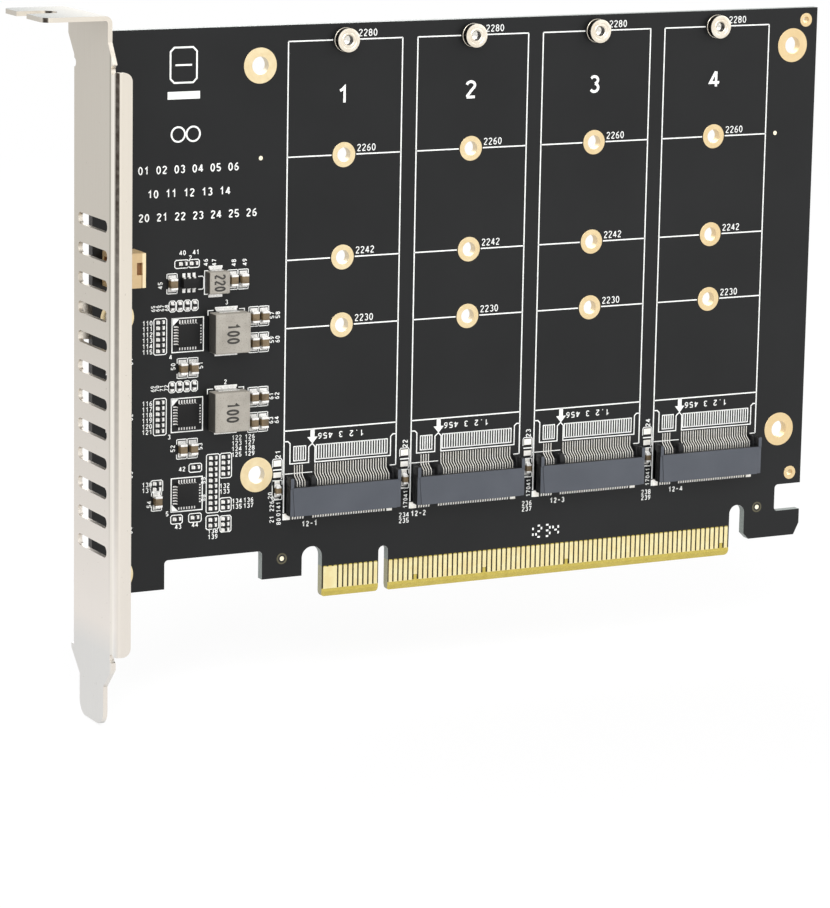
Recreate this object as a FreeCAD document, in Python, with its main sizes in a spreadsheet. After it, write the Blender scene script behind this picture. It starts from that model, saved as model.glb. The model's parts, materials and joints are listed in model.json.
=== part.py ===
"""Four-drive adapter card: printed board, folded bracket, drive sockets and the parts fitted to them.

Frame: origin at the middle of the key notch on the lower edge of the edge connector, on the
component face of the board. +X runs along the edge towards the retention end, +Z up, and the
component side faces -Y. Millimetres.
"""
import FreeCAD, Part
import os
import re
import Sketcher

DIMENSIONS = {
    # printed board, z measured from the lower edge of the edge connector
    "board_thick": 1.57,
    "board_left": -56.15,
    "board_right": 87.45,
    "board_top": 101.6,
    "bevel_high": 0.9,
    "bevel_deep": 0.35,
    # lower edge: legs, cut-out, connector tongue, retention hook
    "leg_low": 4.25,
    "edge_line": 9.4,
    "cutout_left": -42.55,
    "cutout_right": -23.85,
    "leg_right": -16.1,
    "tongue_left": -12.15,
    "tongue_right": 72.15,
    "key_width": 1.9,
    "key_high": 8.25,
    "hook_left": 75.35,
    "hook_low": 2.7,
    "hook_bevel": 1.1,
    "hook_notch_left": 81.9,
    "hook_notch_low": 7.55,
    "hook_notch_top": 12.6,
    "corner_round": 0.7,
    "tongue_corner": 0.7,
    "key_corner": 0.5,
    # edge connector contacts
    "contact_pitch": 1.0,
    "contact_width": 0.7,
    "contact_tall": 4.0,
    "contact_late": 1.0,
    "contact_low": 1.45,
    "contact_thick": 0.05,
    "contact_clear": 0.05,
    "first_contact": 1.5,
    "long_contacts": 71,
    "short_contacts": 8,
    "extra_back_contacts": 3,
    "wide_contact": 2.7,
    # drive bays: columns along X, hole rows up Z
    "bay_first": -8.93,
    "bay_pitch": 24.98,
    "bay_count": 4,
    "row_low": 48.75,
    "row_two": 60.75,
    "row_three": 78.75,
    "row_top": 98.75,
    "bay_hole": 2.6,
    # board mounting holes
    "mount_left": -25.1,
    "mount_right": 82.3,
    "mount_low": 23.2,
    "mount_top": 94.8,
    "mount_hole": 3.2,
    "corner_x": 85.05,
    "corner_low": 14.7,
    "corner_top": 99.35,
    "corner_hole": 1.3,
    # bracket
    "sheet": 0.8,
    "face_x": -58.4,
    "face_far": 2.6,
    "lip_y": -15.3,
    "lip_edge": -55.45,
    "lip_low": -2.9,
    "lip_top": 96.3,
    "lip_round": 1.5,
    "bend": 1.25,
    "tab_top": 105.35,
    "tab_end": -69.8,
    "tab_near": -11.8,
    "tab_far": 6.2,
    "tab_round": 1.6,
    "shoulder_far": 5.2,
    "shoulder_z": 101.0,
    "neck_z": 97.6,
    "relief": 0.75,
    "screw_notch_y": -2.2,
    "screw_notch": 4.4,
    "screw_notch_deep": 6.2,
    "foot_step": 3.7,
    "foot_step_z": -4.4,
    "foot_neck_z": -9.0,
    "foot_far": 0.0,
    "foot_near": -10.4,
    "foot_low": -16.0,
    "foot_round": 2.6,
    "foot_cheek": -13.9,
    "vent_count": 12,
    "vent_pitch": 5.05,
    "vent_high": 2.0,
    "vent_near": -11.7,
    "vent_far": 0.8,
    "vent_top_z": 70.25,
    # bracket lugs and their screws
    "lug_x": -51.55,
    "lug_low_z": 7.6,
    "lug_top_z": 52.65,
    "lug_width": 7.2,
    "lug_clear": 0.1,
    "screw_shank": 2.8,
    "screw_length": 3.4,
    "screw_head": 5.0,
    "screw_head_high": 1.3,
    # drive sockets, x from the middle of a bay
    "socket_shift": -0.15,
    "socket_margin": 1.85,
    "socket_high": 3.2,
    "socket_back": 15.8,
    "socket_roof": 20.9,
    "socket_front": 22.65,
    "socket_lip": 1.15,
    "socket_post": 0.7,
    "socket_undercut": 0.45,
    "undercut_high": 1.4,
    "socket_edge": 0.25,
    "mouth_open": 0.5,
    "mouth_margin": 0.95,
    "mouth_high": 1.05,
    "mouth_deep": 4.0,
    "key_post": 0.95,
    "key_pillar_high": 2.3,
    "key_pillar_set": 0.1,
    "first_lead": -8.85,
    "leads_before_key": 4,
    "leads_at_key": 4,
    "leads_after_key": 29,
    "lead_pitch": 0.5,
    "lead_width": 0.22,
    "lead_thick": 0.15,
    "lead_foot": 1.6,
    "lead_ramp": 0.8,
    "tail_foot": 1.2,
    "lead_gap": 0.06,
    "lead_short_of_mouth": 0.6,
    "tab_thick": 0.2,
    "tab_wide": 1.1,
    "tab_inset": 0.8,
    "socket_cap_gap": 1.14,
    "socket_cap_z": 20.1,
    # stand-offs
    "post_wide": 4.2,
    "post_high": 1.5,
    "post_shank": 2.3,
    "post_bore": 1.7,
    "nut_thick": 0.8,
    # power section
    "choke_wide": 6.7,
    "choke_long": 7.0,
    "choke_high": 3.0,
    "choke_clip": 4.0,
    "choke_toe": 0.45,
    "choke_foil": 0.1,
    "choke_wrap": 0.12,
    "choke_round": 0.5,
    "choke_x": -31.15,
    "choke_low_z": 35.3,
    "choke_top_z": 49.1,
    "small_choke": 3.9,
    "small_choke_high": 1.9,
    "small_choke_x": -33.25,
    "small_choke_z": 57.9,
    "chip_side": 4.0,
    "chip_high": 0.85,
    "switch_long": 2.9,
    "switch_wide": 1.6,
    "switch_high": 1.1,
    "switch_pitch": 0.95,
    "switch_reach": 0.6,
    "switch_stand": 0.1,
    "switch_lead_wide": 0.4,
    "switch_lead_thick": 0.12,
    "switch_lead_high": 0.5,
    # chip capacitors and resistors
    "cap_long": 2.0,
    "cap_wide": 1.3,
    "cap_high": 1.15,
    "cap_end": 0.42,
    "minor_long": 1.6,
    "minor_wide": 0.95,
    "minor_high": 0.85,
    "minor_end": 0.36,
    "end_proud": 0.02,
    "res_long": 1.0,
    "res_wide": 0.5,
    "res_high": 0.36,
    "bank_pitch": 1.0,
    "lamp_long": 1.6,
    "lamp_wide": 0.8,
    "lamp_high": 0.6,
    "lamp_x": -53.2,
    "lamp_top_z": 44.0,
    "lamp_pitch": 10.0,
    # two-pin lead header
    "header_left": -54.3,
    "header_right": -48.45,
    "header_low": 58.45,
    "header_top": 64.4,
    "header_high": 5.0,
    "header_wall": 0.8,
    "window_right": 0.6,
    "window_wide": 1.05,
    "window_foot": 2.2,
    "window_high": 2.15,
    "window_deep": 0.5,
    "groove_wide": 0.25,
    "groove_deep": 0.15,
    "pin_inset": 0.6,
    "pin_side": 0.5,
    "pin_gap": 2.0,
}

doc = FreeCAD.newDocument("drive_card")
sheet = doc.addObject("Spreadsheet::Sheet", "Dims")
for row, (alias, number) in enumerate(DIMENSIONS.items(), start=1):
    sheet.set("A%d" % row, alias)
    sheet.set("B%d" % row, repr(number))
    sheet.setAlias("B%d" % row, alias)
doc.recompute()

NODES = {}


def bind(text):
    """Write an expression of plain words as one that reads the sheet's cells."""
    return re.sub(r"[a-z_]+", lambda word: "Dims." + word.group() if word.group() in DIMENSIONS
                  else word.group(), str(text))


def value(text):
    """The number that an expression of the sheet's words comes to now."""
    return float(sheet.evalExpression(bind(text)))


def node(name, thing):
    """Register a finished sub-part under the name of its node."""
    thing.Label = name
    NODES[name] = thing
    return thing


def new_body(name):
    """A PartDesign body that becomes the node of the same name."""
    return node(name, doc.addObject("PartDesign::Body", name + "_body"))


def plane(body, role):
    """One of a body's own origin planes."""
    return next(item for item in body.Origin.OriginFeatures if item.Role == role)


def sketch(body, name, role, polygons=(), circles=(), offset=None):
    """A fully constrained sketch of closed outlines and circles, placed by expressions."""
    made = body.newObject("Sketcher::SketchObject", name)
    made.AttachmentSupport = (plane(body, role), [""])
    made.MapMode = "FlatFace"
    if offset is not None:
        made.setExpression("AttachmentOffset.Base.z", bind(offset))

    def place(geometry, point, across, up):
        for kind, text in (("DistanceX", across), ("DistanceY", up)):
            index = made.addConstraint(
                Sketcher.Constraint(kind, -1, 1, geometry, point, value(text)))
            made.setExpression("Constraints[%d]" % index, bind(text))

    for corners in polygons:
        points = [FreeCAD.Vector(value(a), value(b), 0) for a, b in corners]
        first = made.GeometryCount
        last = first + len(points) - 1
        for start, end in zip(points, points[1:] + points[:1]):
            made.addGeometry(Part.LineSegment(start, end))
        for line in range(first, last + 1):
            after = line + 1 if line < last else first
            made.addConstraint(Sketcher.Constraint("Coincident", line, 2, after, 1))
        for line, (across, up) in enumerate(corners, start=first):
            place(line, 1, across, up)
    for across, up, radius in circles:
        centre = FreeCAD.Vector(value(across), value(up), 0)
        ring = made.addGeometry(Part.Circle(centre, FreeCAD.Vector(0, 0, 1), value(radius)))
        index = made.addConstraint(Sketcher.Constraint("Radius", ring, value(radius)))
        made.setExpression("Constraints[%d]" % index, bind(radius))
        place(ring, 3, across, up)
    return made


def rectangle(left, right, low, high):
    """Four corners of an upright rectangle, as expressions."""
    return [(left, low), (right, low), (right, high), (left, high)]


def feature(body, kind, name, profile, length, backwards=False, midplane=False):
    """A Pad or Pocket of a sketch, as long as an expression says."""
    made = body.newObject("PartDesign::" + kind, name)
    made.Profile = profile
    made.setExpression("Length", bind(length))
    made.Reversed = backwards
    made.Midplane = midplane
    body.Tip = made
    return made


def repeat(body, name, originals, along, pitch, count, backwards=False):
    """Repeat features along the body's X or Z axis, towards minus if backwards."""
    made = body.newObject("PartDesign::LinearPattern", name)
    made.Originals = originals
    axis = next(item for item in body.Origin.OriginFeatures if item.Role == along + "_Axis")
    made.Direction = (axis, [""])
    made.Reversed = backwards
    made.setExpression("Length", bind("(%s) * (%s - 1)" % (pitch, count)))
    made.setExpression("Occurrences", bind(count))
    body.Tip = made
    return made


def edges_at(body, axis, spots, reach=0.02):
    """Names of the tip's straight edges along an axis, at given places across it."""
    doc.recompute()
    keys = [key for key in "xyz" if key != axis]
    wanted = [tuple(value(text) for text in spot) for spot in spots]
    names = []
    for index, edge in enumerate(body.Tip.Shape.Edges, start=1):
        if edge.Curve.TypeId != "Part::GeomLine":
            continue
        direction = edge.tangentAt(edge.FirstParameter)
        if abs(abs(getattr(direction, axis)) - 1) > 1e-6:
            continue
        middle = edge.CenterOfMass
        for first, second in wanted:
            if abs(getattr(middle, keys[0]) - first) < reach and \
                    abs(getattr(middle, keys[1]) - second) < reach:
                names.append("Edge%d" % index)
    return names


def dress(body, kind, name, axis, spots, size):
    """Fillet or chamfer the edges that run along an axis at the given places."""
    edges = edges_at(body, axis, spots)
    base = body.Tip
    made = body.newObject("PartDesign::" + kind, name)
    made.Base = (base, edges)
    made.setExpression("Radius" if kind == "Fillet" else "Size", bind(size))
    body.Tip = made
    return made


def box(name, x_range, y_range, z_range):
    """A Part::Box between two expressions on each axis."""
    made = doc.addObject("Part::Box", name)
    for size, axis, (low, high) in zip(("Length", "Width", "Height"), "xyz",
                                       (x_range, y_range, z_range)):
        made.setExpression(size, bind("(%s) - (%s)" % (high, low)))
        made.setExpression("Placement.Base." + axis, bind(low))
    return made


def group(name, members):
    """One node of several loose solids."""
    made = doc.addObject("Part::Compound", name + "_group")
    made.Links = members
    return node(name, made)


def bay(number, shift="0"):
    """X of something in a drive bay, as an expression; bays count from 0."""
    return "bay_first + %d * bay_pitch + %s" % (number, shift)


# a socket's row of contacts, and what is sized or placed from it
CONTACT_ROW = "((leads_before_key + leads_at_key + leads_after_key - 1) * lead_pitch)"
SOCKET_HALF = "(%s / 2 + socket_margin)" % CONTACT_ROW
MOUTH_HALF = "(%s / 2 + mouth_margin)" % CONTACT_ROW
KEY_MIDDLE = ("(first_lead + (leads_before_key + leads_at_key / 2 - 0.5) * lead_pitch"
              " - socket_shift)")
# contacts that mate last, counted from the first one past the key
LATE_CONTACTS = (5, 19, 36, 69)
BAY_ROWS = ("row_low", "row_two", "row_three", "row_top")
BAYS = int(value("bay_count"))


# ---------------------------------------------------------------- printed board
def circuit_board():
    """The bare board: outline with legs, key notch and retention hook, and its holes."""
    body = new_body("circuit_board")
    half_key = "key_width / 2"
    outline = [
        ("board_left", "board_top"), ("board_left", "leg_low"), ("cutout_left", "leg_low"),
        ("cutout_left", "edge_line"), ("cutout_right", "edge_line"),
        ("cutout_right", "leg_low"), ("leg_right", "leg_low"), ("leg_right", "edge_line"),
        ("tongue_left", "edge_line"), ("tongue_left", "0"), ("-" + half_key, "0"),
        ("-" + half_key, "key_high"), (half_key, "key_high"), (half_key, "0"),
        ("tongue_right", "0"), ("tongue_right", "edge_line"), ("hook_left", "edge_line"),
        ("hook_left", "hook_low + hook_bevel"), ("hook_left + hook_bevel", "hook_low"),
        ("board_right - hook_bevel", "hook_low"), ("board_right", "hook_low + 2 * hook_bevel"),
        ("board_right", "hook_notch_low"), ("hook_notch_left", "hook_notch_low"),
        ("hook_notch_left", "hook_notch_top"), ("board_right", "hook_notch_top"),
        ("board_right", "board_top")]
    feature(body, "Pad", "board_slab", sketch(body, "board_outline", "XZ_Plane", [outline]),
            "board_thick", backwards=True)
    for name, left, right in (("near_slot_top", "leg_right", "tongue_left"),
                              ("hook_slot_top", "tongue_right", "hook_left")):
        dress(body, "Fillet", name, "y", [(left, "edge_line"), (right, "edge_line")],
              "(%s - %s) * 0.49" % (right, left))
    dress(body, "Fillet", "key_top", "y", [("-" + half_key, "key_high"), (half_key, "key_high")],
          "key_width * 0.49")
    dress(body, "Fillet", "tongue_corners", "y", [("tongue_left", "0"), ("tongue_right", "0")],
          "tongue_corner")
    dress(body, "Fillet", "key_corners", "y", [("-" + half_key, "0"), (half_key, "0")],
          "key_corner")
    dress(body, "Fillet", "inner_corners", "y",
          [("cutout_left", "edge_line"), ("cutout_right", "edge_line"),
           ("hook_notch_left", "hook_notch_low"), ("hook_notch_left", "hook_notch_top")],
          "corner_round")
    for side, face in (("front", "0"), ("back", "board_thick")):
        profile = [(face, "0"), (face, "bevel_high"),
                   (face + (" + " if side == "front" else " - ") + "bevel_deep", "0")]
        cut = sketch(body, side + "_bevel_profile", "YZ_Plane", [profile], offset="tongue_left")
        feature(body, "Pocket", side + "_bevel", cut, "tongue_right - tongue_left",
                backwards=True)
    column = sketch(body, "bay_hole_column", "XZ_Plane",
                    circles=[("bay_first", row, "bay_hole / 2") for row in BAY_ROWS])
    holes = feature(body, "Pocket", "bay_holes", column, "board_thick")
    repeat(body, "bay_hole_rows", [holes], "X", "bay_pitch", "bay_count")
    rest = [(x, z, "mount_hole / 2") for x in ("mount_left", "mount_right")
            for z in ("mount_low", "mount_top")]
    rest += [("corner_x", z, "corner_hole / 2") for z in ("corner_low", "corner_top")]
    rest += [("lug_x", z, "screw_shank / 2 + lug_clear") for z in ("lug_low_z", "lug_top_z")]
    feature(body, "Pocket", "other_holes",
            sketch(body, "other_hole_centres", "XZ_Plane", circles=rest), "board_thick")


def edge_contacts(side):
    """The gold contacts on one face of the board's edge connector."""
    body = new_body("edge_contacts_" + side)
    face = "0" if side == "front" else "-board_thick"
    away = side == "back"
    half = "contact_width / 2"

    def strip(name, centre, low="contact_low", width=half):
        left, right = "%s - %s" % (centre, width), "%s + %s" % (centre, width)
        top = "contact_low + contact_tall"
        profile = sketch(body, name + "_outline", "XZ_Plane",
                         [rectangle(left, right, low, top)], offset=face)
        return feature(body, "Pad", name, profile, "contact_thick", backwards=away)

    first = strip("first_long", "first_contact")
    repeat(body, "long_row", [first], "X", "contact_pitch", "long_contacts")
    small = strip("first_short", "-first_contact")
    singles = "short_contacts" if side == "front" else "short_contacts + extra_back_contacts"
    repeat(body, "short_row", [small], "X", "contact_pitch", singles, backwards=True)
    if side == "front":
        strip("wide", "-first_contact - contact_pitch * (short_contacts + 1)",
              width="wide_contact / 2")
        late = ["first_contact + %d * contact_pitch" % step for step in LATE_CONTACTS]
    else:
        late = ["-first_contact - contact_pitch * (short_contacts + extra_back_contacts - 1)"]
    tips = [rectangle("%s - %s - contact_clear" % (x, half), "%s + %s + contact_clear" % (x, half),
                      "contact_low - contact_clear", "contact_low + contact_late") for x in late]
    cut = sketch(body, "late_tips", "XZ_Plane", tips,
                 offset="contact_thick" if side == "front" else "-board_thick")
    feature(body, "Pocket", "late_contacts", cut, "contact_thick")


# ---------------------------------------------------------------- bracket
def bracket():
    """The card's bracket, folded from one sheet: face, lip, tab, foot, lugs and vents."""
    body = new_body("bracket")
    face = [("tab_far - 1", "tab_top"), ("shoulder_far", "shoulder_z"),
            ("face_far", "neck_z"), ("face_far", "foot_step_z"), ("foot_step", "foot_step_z"),
            ("foot_step", "foot_step_z - 0.9"), ("foot_far", "foot_neck_z"),
            ("foot_far", "foot_low"), ("foot_near", "foot_low"), ("foot_near", "foot_neck_z"),
            ("foot_cheek", "foot_step_z - 0.9"), ("foot_cheek", "lip_low - relief"),
            ("foot_cheek", "lip_low"), ("lip_y", "lip_low"), ("lip_y", "lip_top"),
            ("foot_cheek", "lip_top"), ("foot_cheek", "neck_z"), ("tab_near", "shoulder_z"),
            ("tab_near", "tab_top")]
    plate = sketch(body, "face_outline", "YZ_Plane", [face], offset="face_x")
    feature(body, "Pad", "face_plate", plate, "sheet")
    lip = sketch(body, "lip_outline", "XZ_Plane",
                 [rectangle("face_x", "lip_edge", "lip_low", "lip_top")], offset="-lip_y")
    feature(body, "Pad", "lip", lip, "sheet", backwards=True)
    dress(body, "Fillet", "lip_bend", "z", [("face_x", "lip_y")], "bend")
    dress(body, "Fillet", "lip_bend_inside", "z", [("face_x + sheet", "lip_y + sheet")],
          "bend - sheet")
    tab = sketch(body, "tab_outline", "XY_Plane",
                 [rectangle("tab_end", "face_x + sheet", "tab_near", "tab_far")],
                 offset="tab_top")
    feature(body, "Pad", "tab", tab, "sheet", backwards=True)
    dress(body, "Fillet", "tab_bend", "y", [("face_x + sheet", "tab_top")], "bend")
    dress(body, "Fillet", "tab_bend_inside", "y", [("face_x", "tab_top - sheet")],
          "bend - sheet")
    for place in ("low", "top"):
        centre = "lug_%s_z" % place
        half = "lug_width / 2"
        lug = sketch(body, "lug_%s_outline" % place, "XZ_Plane",
                     [rectangle("face_x", "lug_x + " + half, centre + " - " + half,
                                centre + " + " + half)], offset="-board_thick")
        feature(body, "Pad", "lug_" + place, lug, "sheet", backwards=True)
        dress(body, "Fillet", "lug_%s_round" % place, "y",
              [("lug_x + " + half, centre + " - " + half),
               ("lug_x + " + half, centre + " + " + half)], "lug_width * 0.45")
    lug_holes = sketch(body, "lug_hole_centres", "XZ_Plane",
                       circles=[("lug_x", "lug_%s_z" % place, "screw_shank / 2")
                                for place in ("low", "top")], offset="-board_thick")
    feature(body, "Pocket", "lug_holes", lug_holes, "sheet")
    vent = sketch(body, "vent_outline", "YZ_Plane",
                  [rectangle("vent_near + vent_high / 2", "vent_far - vent_high / 2",
                             "vent_top_z - vent_high / 2", "vent_top_z + vent_high / 2")],
                  offset="face_x")
    slot = feature(body, "Pocket", "top_vent", vent, "sheet", backwards=True)
    cuts = [slot]
    for end, y in (("near", "vent_near + vent_high / 2"), ("far", "vent_far - vent_high / 2")):
        ring = sketch(body, "vent_%s_end_outline" % end, "YZ_Plane",
                      circles=[(y, "vent_top_z", "vent_high / 2")], offset="face_x")
        cuts.append(feature(body, "Pocket", "vent_%s_end" % end, ring, "sheet", backwards=True))
    repeat(body, "vents", cuts, "Z", "vent_pitch", "vent_count", backwards=True)
    notch = sketch(body, "screw_notch_outline", "XY_Plane",
                   [rectangle("tab_end", "tab_end + screw_notch_deep - screw_notch / 2",
                              "screw_notch_y - screw_notch / 2",
                              "screw_notch_y + screw_notch / 2")], offset="tab_top")
    feature(body, "Pocket", "screw_notch", notch, "sheet")
    round_end = sketch(body, "screw_notch_end", "XY_Plane",
                       circles=[("tab_end + screw_notch_deep - screw_notch / 2",
                                 "screw_notch_y", "screw_notch / 2")], offset="tab_top")
    feature(body, "Pocket", "screw_notch_bottom", round_end, "sheet")
    dress(body, "Fillet", "tab_corners", "z",
          [("tab_end", "tab_near"), ("tab_end", "tab_far")], "tab_round")
    dress(body, "Fillet", "lip_corners", "y",
          [("lip_edge", "lip_low"), ("lip_edge", "lip_top")], "lip_round")
    dress(body, "Fillet", "foot_corners", "x",
          [("foot_far", "foot_low"), ("foot_near", "foot_low")], "foot_round")
    reliefs = sketch(body, "relief_centres", "YZ_Plane",
                     circles=[("foot_cheek", "lip_low - relief / 2", "relief"),
                              ("foot_cheek", "lip_top + relief / 2", "relief"),
                              ("face_far", "neck_z - 1.3", "relief")], offset="face_x")
    feature(body, "Pocket", "bend_reliefs", reliefs, "sheet", backwards=True)


def turned(name, profile, x, z):
    """A turned piece about an axis square to the board; the profile is (radius, y) corners."""
    body = doc.addObject("PartDesign::Body", name + "_body")
    outline = sketch(body, name + "_profile", "XY_Plane", [profile])
    made = body.newObject("PartDesign::Revolution", name + "_turn")
    made.Profile = outline
    axis = next(item for item in body.Origin.OriginFeatures if item.Role == "Y_Axis")
    made.ReferenceAxis = (axis, [""])
    body.Tip = made
    body.setExpression("Placement.Base.x", bind(x))
    body.setExpression("Placement.Base.z", bind(z))
    return body


def bracket_screws():
    """Pan-head screws through the board into the bracket's lugs."""
    head, shank = "screw_head / 2", "screw_shank / 2"
    top = "-screw_head_high"
    profile = [("0", top), (head + " * 0.75", top), (head, "0"), (shank, "0"),
               (shank, "screw_length"), ("0", "screw_length")]
    return [turned("bracket_screw_" + place, profile, "lug_x", "lug_%s_z" % place)
            for place in ("low", "top")]


def stand_offs():
    """Drive stand-offs: a post on the component face and a disc nut on the back."""
    wide, shank, bore = "post_wide / 2", "post_shank / 2", "post_bore / 2"
    post = [(bore, "-post_high"), (wide, "-post_high"), (wide, "0"), (shank, "0"),
            (shank, "board_thick"), (bore, "board_thick")]
    nut = rectangle(bore, wide, "board_thick", "board_thick + nut_thick")
    posts, nuts = [], []
    for number in range(BAYS):
        posts.append(turned("post_%d" % (number + 1), post, bay(number), "row_top"))
        nuts.append(turned("nut_%d" % (number + 1), nut, bay(number), "row_top"))
    return posts, nuts


# ---------------------------------------------------------------- drive sockets
def socket_housing(number):
    """One moulded drive socket with its open mouth, lower lip, end posts and key pillar."""
    body = new_body("socket_housing_%d" % number)
    body.setExpression("Placement.Base.x", bind(bay(number - 1, "socket_shift")))
    half, mouth = SOCKET_HALF, MOUTH_HALF
    name = "socket_%d_" % number
    block = sketch(body, name + "plan", "XZ_Plane",
                   [rectangle("-" + half, half, "socket_back", "socket_front")])
    feature(body, "Pad", name + "block", block, "socket_high")
    inner = "(%s - socket_post)" % half
    step = sketch(body, name + "step_plan", "XZ_Plane",
                  [rectangle("-" + inner, inner, "socket_roof", "socket_front + mouth_open")],
                  offset="socket_high")
    feature(body, "Pocket", name + "step", step, "socket_high - socket_lip")
    key_left, key_right = KEY_MIDDLE + " - key_post / 2", KEY_MIDDLE + " + key_post / 2"
    slots = [rectangle("-" + mouth, key_left, "socket_roof - mouth_deep",
                       "socket_roof + mouth_open"),
             rectangle(key_right, mouth, "socket_roof - mouth_deep",
                       "socket_roof + mouth_open")]
    cut = sketch(body, name + "mouth_plan", "XZ_Plane", slots,
                 offset="socket_lip + mouth_high")
    feature(body, "Pocket", name + "mouth", cut, "mouth_high")
    pillar = sketch(body, name + "key_plan", "XZ_Plane",
                    [rectangle(key_left, key_right, "socket_roof - key_pillar_set",
                               "socket_front - key_pillar_set")])
    feature(body, "Pad", name + "key_pillar", pillar, "key_pillar_high")
    foot = "(%s - socket_undercut)" % half
    sides = [rectangle(foot, half + " + mouth_open", "socket_back - mouth_open",
                       "socket_front + mouth_open"),
             rectangle("-%s - mouth_open" % half, "-" + foot, "socket_back - mouth_open",
                       "socket_front + mouth_open")]
    under = sketch(body, name + "side_plan", "XZ_Plane", sides, offset="undercut_high")
    feature(body, "Pocket", name + "side_undercuts", under, "undercut_high")
    dress(body, "Chamfer", name + "roof_edge", "x",
          [("-socket_high", "socket_roof"), ("-socket_high", "socket_back")], "socket_edge")


def lead_row(name, number, profile, first, second):
    """Two runs of one contact profile, either side of the key."""
    body = new_body(name)
    body.setExpression("Placement.Base.x", bind(bay(number - 1)))
    for run, (start, count) in enumerate((first, second), start=1):
        outline = sketch(body, "%s_profile_%d" % (name, run), "YZ_Plane", [profile],
                         offset="(%s) - lead_width / 2" % start)
        one = feature(body, "Pad", "%s_lead_%d" % (name, run), outline, "lead_width")
        repeat(body, "%s_run_%d" % (name, run), [one], "X", "lead_pitch", count)


def socket_leads(number):
    """Lower contacts from the front of the socket and upper contact tails behind it."""
    lip = "-socket_lip - lead_gap"
    wall = "socket_front + lead_gap"
    deep = "socket_roof - mouth_deep + lead_short_of_mouth"
    past_key = "(leads_before_key + leads_at_key) * lead_pitch"
    lower = [("0", wall + " + lead_foot"), ("0", wall + " + lead_ramp"), (lip, wall),
             (lip, deep), (lip + " - lead_thick", deep),
             (lip + " - lead_thick", wall + " + lead_thick / 2"),
             ("-lead_thick", wall + " + lead_ramp + lead_thick / 2"),
             ("-lead_thick", wall + " + lead_foot")]
    lead_row("front_leads_%d" % number, number, lower, ("first_lead", "leads_before_key"),
             ("first_lead + " + past_key, "leads_after_key"))
    upper = rectangle("-lead_thick", "0", "socket_back - tail_foot", "socket_back")
    start = "first_lead - lead_pitch / 2"
    lead_row("rear_leads_%d" % number, number, upper, (start, "leads_before_key + 1"),
             (start + " + " + past_key, "leads_after_key"))


def hold_downs():
    """Solder tabs that hold both ends of each socket."""
    tabs = []
    for number in range(BAYS):
        for side, sign in (("left", "-"), ("right", "+")):
            middle = bay(number, "socket_shift %s (%s - tab_inset)" % (sign, SOCKET_HALF))
            tabs.append(box("hold_down_%s_%d" % (side, number + 1),
                            (middle + " - tab_wide / 2", middle + " + tab_wide / 2"),
                            ("-tab_thick", "0"), ("socket_back - tail_foot", "socket_back")))
    return tabs


# ---------------------------------------------------------------- power section
def choke(name, x, z, wide, long, high, clip):
    """A moulded power inductor: square body with rounded sides, and its two end clips."""
    body = new_body(name + "_body")
    outline = sketch(body, name + "_plan", "XZ_Plane",
                     [rectangle("%s - (%s) / 2" % (x, wide), "%s + (%s) / 2" % (x, wide),
                                "%s - (%s) / 2" % (z, long), "%s + (%s) / 2" % (z, long))],
                     offset="choke_foil")
    feature(body, "Pad", name + "_block", outline, high)
    corners = [("%s %s (%s) / 2" % (x, a, wide), "%s %s (%s) / 2" % (z, b, long))
               for a in "+-" for b in "+-"]
    dress(body, "Fillet", name + "_sides", "y", corners, "choke_round")
    clips = []
    for end, sign in (("top", "+"), ("low", "-")):
        inner = "%s %s ((%s) / 2)" % (z, sign, long)
        outer = "%s %s ((%s) / 2 + choke_toe)" % (z, sign, long)
        low, high_z = (inner, outer) if sign == "+" else (outer, inner)
        toe = box("%s_toe_%s" % (name, end), ("%s - (%s) / 2" % (x, clip),
                  "%s + (%s) / 2" % (x, clip)), ("-choke_foil", "0"), (low, high_z))
        thin = "%s %s ((%s) / 2 + choke_wrap)" % (z, sign, long)
        low, high_z = (inner, thin) if sign == "+" else (thin, inner)
        rise = box("%s_rise_%s" % (name, end), ("%s - (%s) / 2" % (x, clip),
                   "%s + (%s) / 2" % (x, clip)), ("-choke_foil - (%s) * 0.45" % high, "0"),
                   (low, high_z))
        both = doc.addObject("Part::Fuse", "%s_clip_%s" % (name, end))
        both.Base = toe
        both.Tool = rise
        clips.append(both)
    under = box(name + "_pad", ("%s - (%s) / 2" % (x, clip), "%s + (%s) / 2" % (x, clip)),
                ("-choke_foil", "0"), ("%s - (%s) / 2" % (z, long), "%s + (%s) / 2" % (z, long)))
    joined = doc.addObject("Part::MultiFuse", name + "_clips")
    joined.Shapes = clips + [under]
    node(name + "_clips", joined)


def flat_chip(name, x, z):
    """A leadless square chip, seated on the board."""
    body = new_body(name)
    half = "chip_side / 2"
    outline = sketch(body, name + "_plan", "XZ_Plane",
                     [rectangle("%s - %s" % (x, half), "%s + %s" % (x, half),
                                "%s - %s" % (z, half), "%s + %s" % (z, half))])
    feature(body, "Pad", name + "_block", outline, "chip_high")


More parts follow.
